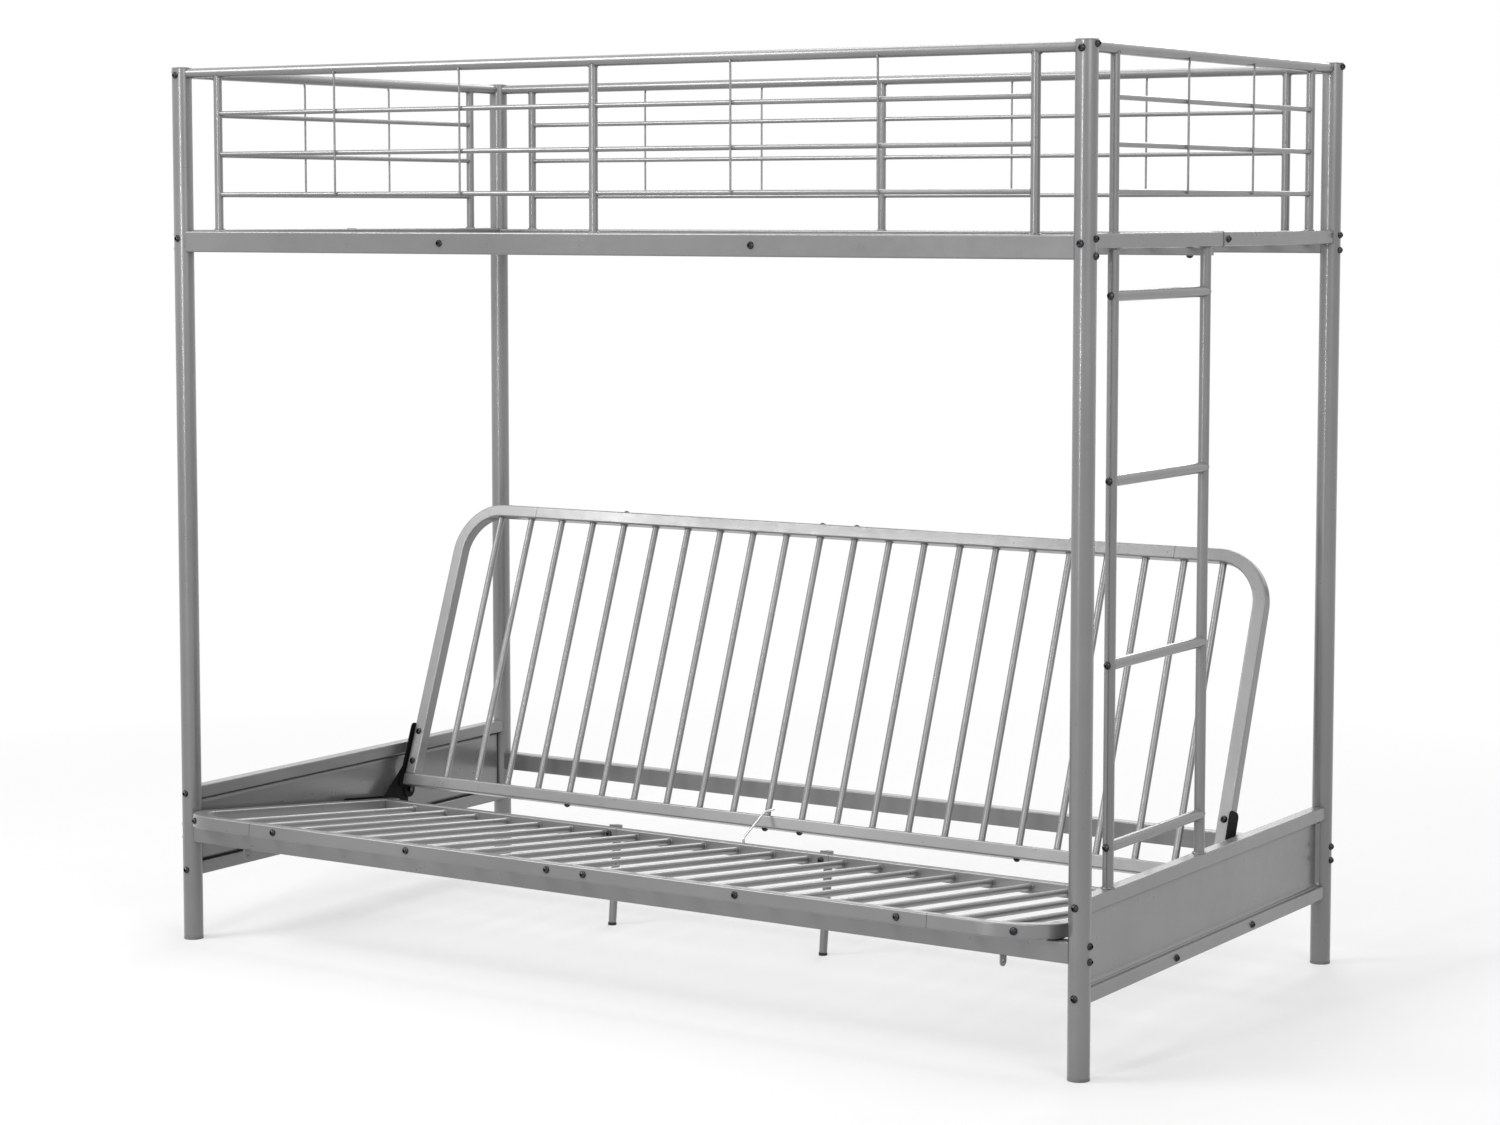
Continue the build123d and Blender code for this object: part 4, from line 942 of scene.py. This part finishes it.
@dataclass
class EndPanels:
    """Pressed sheets of the lower end panels, with rolled edges at the bottom and both ends."""

    finishes: FinishRack
    places: FramePlaces
    thickness: float = 0.0015
    inset: float = 0.0025
    flare: float = 0.008
    end_gap: float = 0.0192
    rail_gap: float = 0.0002
    rolled_share: float = 1.05
    edge_share: float = 0.999
    rolled_steps: int = 9
    flat_steps: int = 10

    def edge_stops(self, length: float, both_ends: bool) -> List[float]:
        """Distances along an edge, close together where the sheet is rolled.

        Args:
            length: The edge's length.
            both_ends: True if both ends are rolled, and not only the first.

        Returns:
            The distances, in order.
        """
        count = self.rolled_steps
        reach = self.flare * self.rolled_share
        rolled = [reach * index / count for index in range(count + 1)]
        flat_start = rolled[-1]
        flat_end = length - flat_start if both_ends else length
        flat = [
            flat_start + (flat_end - flat_start) * index / self.flat_steps
            for index in range(1, self.flat_steps + 1)
        ]
        stops = rolled + flat
        if both_ends:
            stops += [length - distance for distance in rolled[::-1][1:]]
        return stops

    def sheet_rise(self, from_end: float, from_bottom: float) -> float:
        """How far the sheet stands out at a spot.

        Args:
            from_end: Distance to the nearer end.
            from_bottom: Distance to the bottom edge.

        Returns:
            The distance out from the flat of the sheet.
        """
        run = math.hypot(max(self.flare - from_end, 0), max(self.flare - from_bottom, 0))
        run = min(run, self.flare * self.edge_share)
        return self.flare - math.sqrt(self.flare**2 - run**2)

    def build(self) -> None:
        """Make both sheets."""
        bottom = self.places.panel_bottom_over + self.rail_gap
        top = self.places.panel_top_under - self.rail_gap
        half = self.places.post_y - self.end_gap
        length = 2 * half
        for name, side in (("left", -1), ("right", 1)):
            bench = PieceBench(f"{name}_panel_pressed_sheet")
            grid: List[List[bmesh.types.BMVert]] = []
            for distance in self.edge_stops(length, True):
                column = []
                for height in self.edge_stops(top - bottom, False):
                    rise = self.sheet_rise(min(distance, length - distance), height)
                    x = self.places.post_x - self.inset - self.thickness / 2 + rise
                    y = self.places.middle_y - half + distance
                    column.append(bench.mesh.verts.new(Vector((side * x, y, bottom + height))))
                grid.append(column)
            for near, far in zip(grid, grid[1:]):
                bench.strip(near, far)
            sheet = bench.finish(Body.FRAME, self.finishes.paint)
            solidify = sheet.modifiers.new("thickness", "SOLIDIFY")
            solidify.thickness = self.thickness
            solidify.offset = 0.0
            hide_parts(f"{name}_panel_sheet")


@dataclass(frozen=True)
class Slope:
    """A tilted plane on the bed: its x runs along the bed and its y along the piece."""

    origin: Vector
    way: Vector

    def at(self, x: float, y: float) -> Vector:
        """A point given in the plane's own lengths."""
        return self.origin + Vector((x, 0, 0)) + self.way * y


def bend_reach(x: float, side_x: float, bend_radius: float, half_tube: float) -> float:
    """How far a bent corner's inner face stands in from the straight tube's, at a bar.

    Args:
        x: The bar's place along the bed.
        side_x: The side tube's place.
        bend_radius: The radius of the tube's middle line.
        half_tube: Half the tube's width.

    Returns:
        The distance in.
    """
    past = max(abs(x) - (side_x - bend_radius), 0.0)
    inner = bend_radius - half_tube
    return inner - math.sqrt(inner**2 - past**2)


@dataclass
class Seat:
    """Weld beads of the seat's slats."""

    finishes: FinishRack
    places: FramePlaces
    slope_angle: float = math.radians(6.2)
    front_y: float = -0.5857
    front_z: float = 0.253773
    half_tube: float = 0.0127
    depth: float = 0.627
    side_x: float = 0.928
    bend_radius: float = 0.095
    slat_radius: float = 0.0065
    slat_pitch: float = 0.08
    slat_pairs: int = 11
    slat_bead: float = 0.0018
    front_phase: float = 1.9
    rear_phase: float = 1.1
    plane: Slope = field(init=False)

    def __post_init__(self) -> None:
        """Lay out the seat's own plane."""
        back_way = Vector((0, math.cos(self.slope_angle), -math.sin(self.slope_angle)))
        origin = Vector((0, self.places.middle_y + self.front_y, self.front_z))
        self.plane = Slope(origin, back_way)

    def build(self) -> None:
        """Make the seat's pieces."""
        bench = PieceBench("seat_welds")
        back_way = self.plane.way
        for number in range(self.slat_pairs):
            for side in (-1, 1):
                x = side * self.slat_pitch * (number + 0.5)
                reach = bend_reach(x, self.side_x, self.bend_radius, self.half_tube)
                front = self.plane.at(x, self.half_tube + reach)
                rear = self.plane.at(x, self.depth - self.half_tube)
                phase = number * self.front_phase + side
                bench.bead(front, back_way, self.slat_radius, self.slat_bead, phase)
                phase = number * self.rear_phase - side
                bench.bead(rear, -back_way, self.slat_radius, self.slat_bead, phase)
        bench.finish(Body.SEAT, self.finishes.weld)


@dataclass
class Back:
    """Weld beads of the back's bars."""

    finishes: FinishRack
    origin_y: float = 0.168059
    origin_z: float = 0.225201
    tilt: float = math.radians(20.4)
    half_tube: float = 0.0127
    height: float = 0.595
    side_x: float = 0.928
    bend_radius: float = 0.095
    bar_radius: float = 0.0065
    bar_pitch: float = 0.08
    bar_pairs: int = 11
    bar_bead: float = 0.0018
    foot_phase: float = 1.4
    head_phase: float = 2.2
    plane: Slope = field(init=False)

    def __post_init__(self) -> None:
        """Lay out the back's own plane."""
        up_way = Vector((0, math.sin(self.tilt), math.cos(self.tilt)))
        self.plane = Slope(Vector((0, self.origin_y, self.origin_z)), up_way)

    def build(self) -> None:
        """Make the back's pieces."""
        bench = PieceBench("back_welds")
        up_way = self.plane.way
        for number in range(self.bar_pairs):
            for side in (-1, 1):
                x = side * self.bar_pitch * (number + 0.5)
                reach = bend_reach(x, self.side_x, self.bend_radius, self.half_tube)
                foot = self.plane.at(x, self.half_tube)
                head = self.plane.at(x, self.height - self.half_tube - reach)
                phase = number * self.foot_phase + side
                bench.bead(foot, up_way, self.bar_radius, self.bar_bead, phase)
                phase = number * self.head_phase - side
                bench.bead(head, -up_way, self.bar_radius, self.bar_bead, phase)
        bench.finish(Body.BACK, self.finishes.weld)


@dataclass(frozen=True)
class Lamp:
    """A soft lamp, round if it is as wide as it is high, and otherwise a rectangle."""

    name: str
    place: Tuple[float, float, float]
    width: float
    height: float
    power: float


@dataclass
class Studio:
    """White floor and backdrop, soft lamps and the camera."""

    focal_pixels: float = 3258.216
    picture_width: float = 1500.0
    picture_height: float = 1125.0
    centre_row: float = 480.0
    camera_place: Tuple[float, float, float] = (3.3677, -5.1711, 1.4206)
    yaw: float = 0.573054
    pitch: float = 0.081868
    sensor: float = 36.0
    sight: float = 100.0
    world_light: float = 0.30
    floor_size: float = 40.0
    floor_squares: int = 40
    floor_colour: Colour = (0.93, 0.93, 0.93)
    floor_shade: float = 0.985
    floor_patches_to_metre: float = 7.0
    floor_patch_layers: float = 3.0
    floor_patch_span: Span = (0.3, 0.7)
    floor_roughness: float = 0.9
    floor_specular: float = 0.1
    floor_bounce: Colour = (0.18, 0.18, 0.18)
    fade_reach: Span = (1.4, 3.4)
    fade_share: Span = (0.42, 1.0)
    lamp_aim: Tuple[float, float, float] = (0.0, 0.0, 0.8)
    lamps: Tuple[Lamp, ...] = (
        Lamp("key_lamp", (-2.9, -3.2, 3.9), 2.2, 2.2, 120.0),
        Lamp("strip_lamp", (0.1, -4.5, 2.0), 0.26, 2.6, 48.0),
        Lamp("fill_lamp", (4.2, -2.4, 3.0), 2.6, 2.6, 50.0),
        Lamp("top_lamp", (0.2, 0.3, 4.3), 3.4, 3.4, 90.0),
        Lamp("back_lamp", (-1.2, 4.4, 3.4), 2.6, 2.6, 60.0),
    )

    def build(self) -> None:
        """Make the studio."""
        self.lay_floor()
        self.light_world()
        self.hang_lamps()
        self.set_camera()
        bpy.context.scene.view_settings.view_transform = "Standard"

    def seen_by_eye(
        self, nodes: bpy.types.Nodes, links: bpy.types.NodeLinks
    ) -> bpy.types.NodeSocket:
        """Find the rays that end in an eye: the camera's, mirrored and clear ones.

        Args:
            nodes: The nodes to add to.
            links: Their links.

        Returns:
            1 for those rays, and 0 for others.
        """
        path = nodes.new("ShaderNodeLightPath")
        value = path.outputs["Is Camera Ray"]
        for name in ("Is Glossy Ray", "Is Transmission Ray"):
            either = nodes.new("ShaderNodeMath")
            either.operation = "MAXIMUM"
            links.new(value, either.inputs[0])
            links.new(path.outputs[name], either.inputs[1])
            value = either.outputs[0]
        return value

    def lay_floor(self) -> None:
        """A wide pale floor that keeps the bed's shadow and fades to white far away."""
        bench = PieceBench("floor")
        stops = [
            self.floor_size * (index / self.floor_squares - 0.5)
            for index in range(self.floor_squares + 1)
        ]
        rows = [[bench.mesh.verts.new(Vector((x, y, 0.0))) for y in stops] for x in stops]
        for near, far in zip(rows, rows[1:]):
            bench.strip(near, far)
        floor = bench.to_object(self.floor_paint())

    def floor_paint(self) -> bpy.types.Material:
        """A pale paint that turns into plain white away from the bed.

        Returns:
            The floor's material.
        """
        paint = ShaderBench("white_floor")
        nodes, links = paint.nodes, paint.links
        paint.set("Roughness", self.floor_roughness)
        paint.set("Specular IOR Level", self.floor_specular)
        patches = paint.noise(self.floor_patches_to_metre, self.floor_patch_layers)
        patches = paint.spread(patches, self.floor_patch_span, FULL)
        shade = tuple(value * self.floor_shade for value in self.floor_colour)
        to_eye = self.seen_by_eye(nodes, links)
        seen_colour = paint.blend(patches, self.floor_colour, shade)
        paint.join(paint.blend(to_eye, self.floor_bounce, seen_colour), "Base Color")
        white = nodes.new("ShaderNodeEmission")
        white.inputs["Color"].default_value = WHITE
        length = nodes.new("ShaderNodeVectorMath")
        length.operation = "LENGTH"
        links.new(paint.place, length.inputs[0])
        fade = paint.spread(length.outputs["Value"], self.fade_reach, self.fade_share)
        seen = nodes.new("ShaderNodeMath")
        seen.operation = "MULTIPLY"
        links.new(fade, seen.inputs[0])
        links.new(to_eye, seen.inputs[1])
        mix = nodes.new("ShaderNodeMixShader")
        links.new(seen.outputs[0], mix.inputs[0])
        links.new(paint.shader.outputs[0], mix.inputs[1])
        links.new(white.outputs[0], mix.inputs[2])
        links.new(mix.outputs[0], nodes["Material Output"].inputs["Surface"])
        return paint.material

    def light_world(self) -> None:
        """A white world to the eye that lights the bed softly."""
        world = bpy.data.worlds.new("studio")
        world.use_nodes = True
        bpy.context.scene.world = world
        nodes, links = world.node_tree.nodes, world.node_tree.links
        soft = nodes["Background"]
        soft.inputs["Color"].default_value = WHITE
        soft.inputs["Strength"].default_value = self.world_light
        white = nodes.new("ShaderNodeBackground")
        white.inputs["Color"].default_value = WHITE
        white.inputs["Strength"].default_value = 1.0
        mix = nodes.new("ShaderNodeMixShader")
        links.new(self.seen_by_eye(nodes, links), mix.inputs[0])
        links.new(soft.outputs[0], mix.inputs[1])
        links.new(white.outputs[0], mix.inputs[2])
        links.new(mix.outputs[0], nodes["World Output"].inputs["Surface"])

    def hang_lamps(self) -> None:
        """Soft lamps round the bed, all aimed at its middle."""
        for lamp in self.lamps:
            light = bpy.data.lights.new(lamp.name, "AREA")
            light.shape = "ELLIPSE" if lamp.width == lamp.height else "RECTANGLE"
            light.size = lamp.width
            light.size_y = lamp.height
            light.energy = lamp.power
            holder = bpy.data.objects.new(lamp.name, light)
            holder.location = lamp.place
            aim = Vector(self.lamp_aim) - holder.location
            holder.rotation_euler = aim.to_track_quat("-Z", "Y").to_euler()
            bpy.context.scene.collection.objects.link(holder)

    def set_camera(self) -> None:
        """The camera, at the photograph's place."""
        data = bpy.data.cameras.new("camera")
        data.sensor_fit = "HORIZONTAL"
        data.sensor_width = self.sensor
        data.lens = self.focal_pixels * self.sensor / self.picture_width
        data.shift_y = (self.centre_row - self.picture_height / 2) / self.picture_width
        data.clip_end = self.sight
        camera = bpy.data.objects.new("camera", data)
        camera.location = self.camera_place
        camera.rotation_euler = (math.pi / 2 - self.pitch, 0.0, self.yaw)
        bpy.context.scene.collection.objects.link(camera)
        bpy.context.scene.camera = camera


def main() -> None:
    """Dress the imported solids, make the fine pieces and set up the studio."""
    logging.basicConfig(level=logging.INFO, format="%(name)s: %(message)s")
    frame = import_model()
    finishes = FinishRack()
    finishes.dress_nodes(frame["nodes"])
    places = FramePlaces()
    assemblies = [
        Guards(finishes, places),
        Deck(finishes, places),
        Ladder(finishes, places),
        EndPanels(finishes, places),
        Seat(finishes, places),
        Back(finishes),
        Studio(),
    ]
    for assembly in assemblies:
        assembly.build()
        LOG.info("finished %s", type(assembly).__name__)


if __name__ == "__main__":
    main()
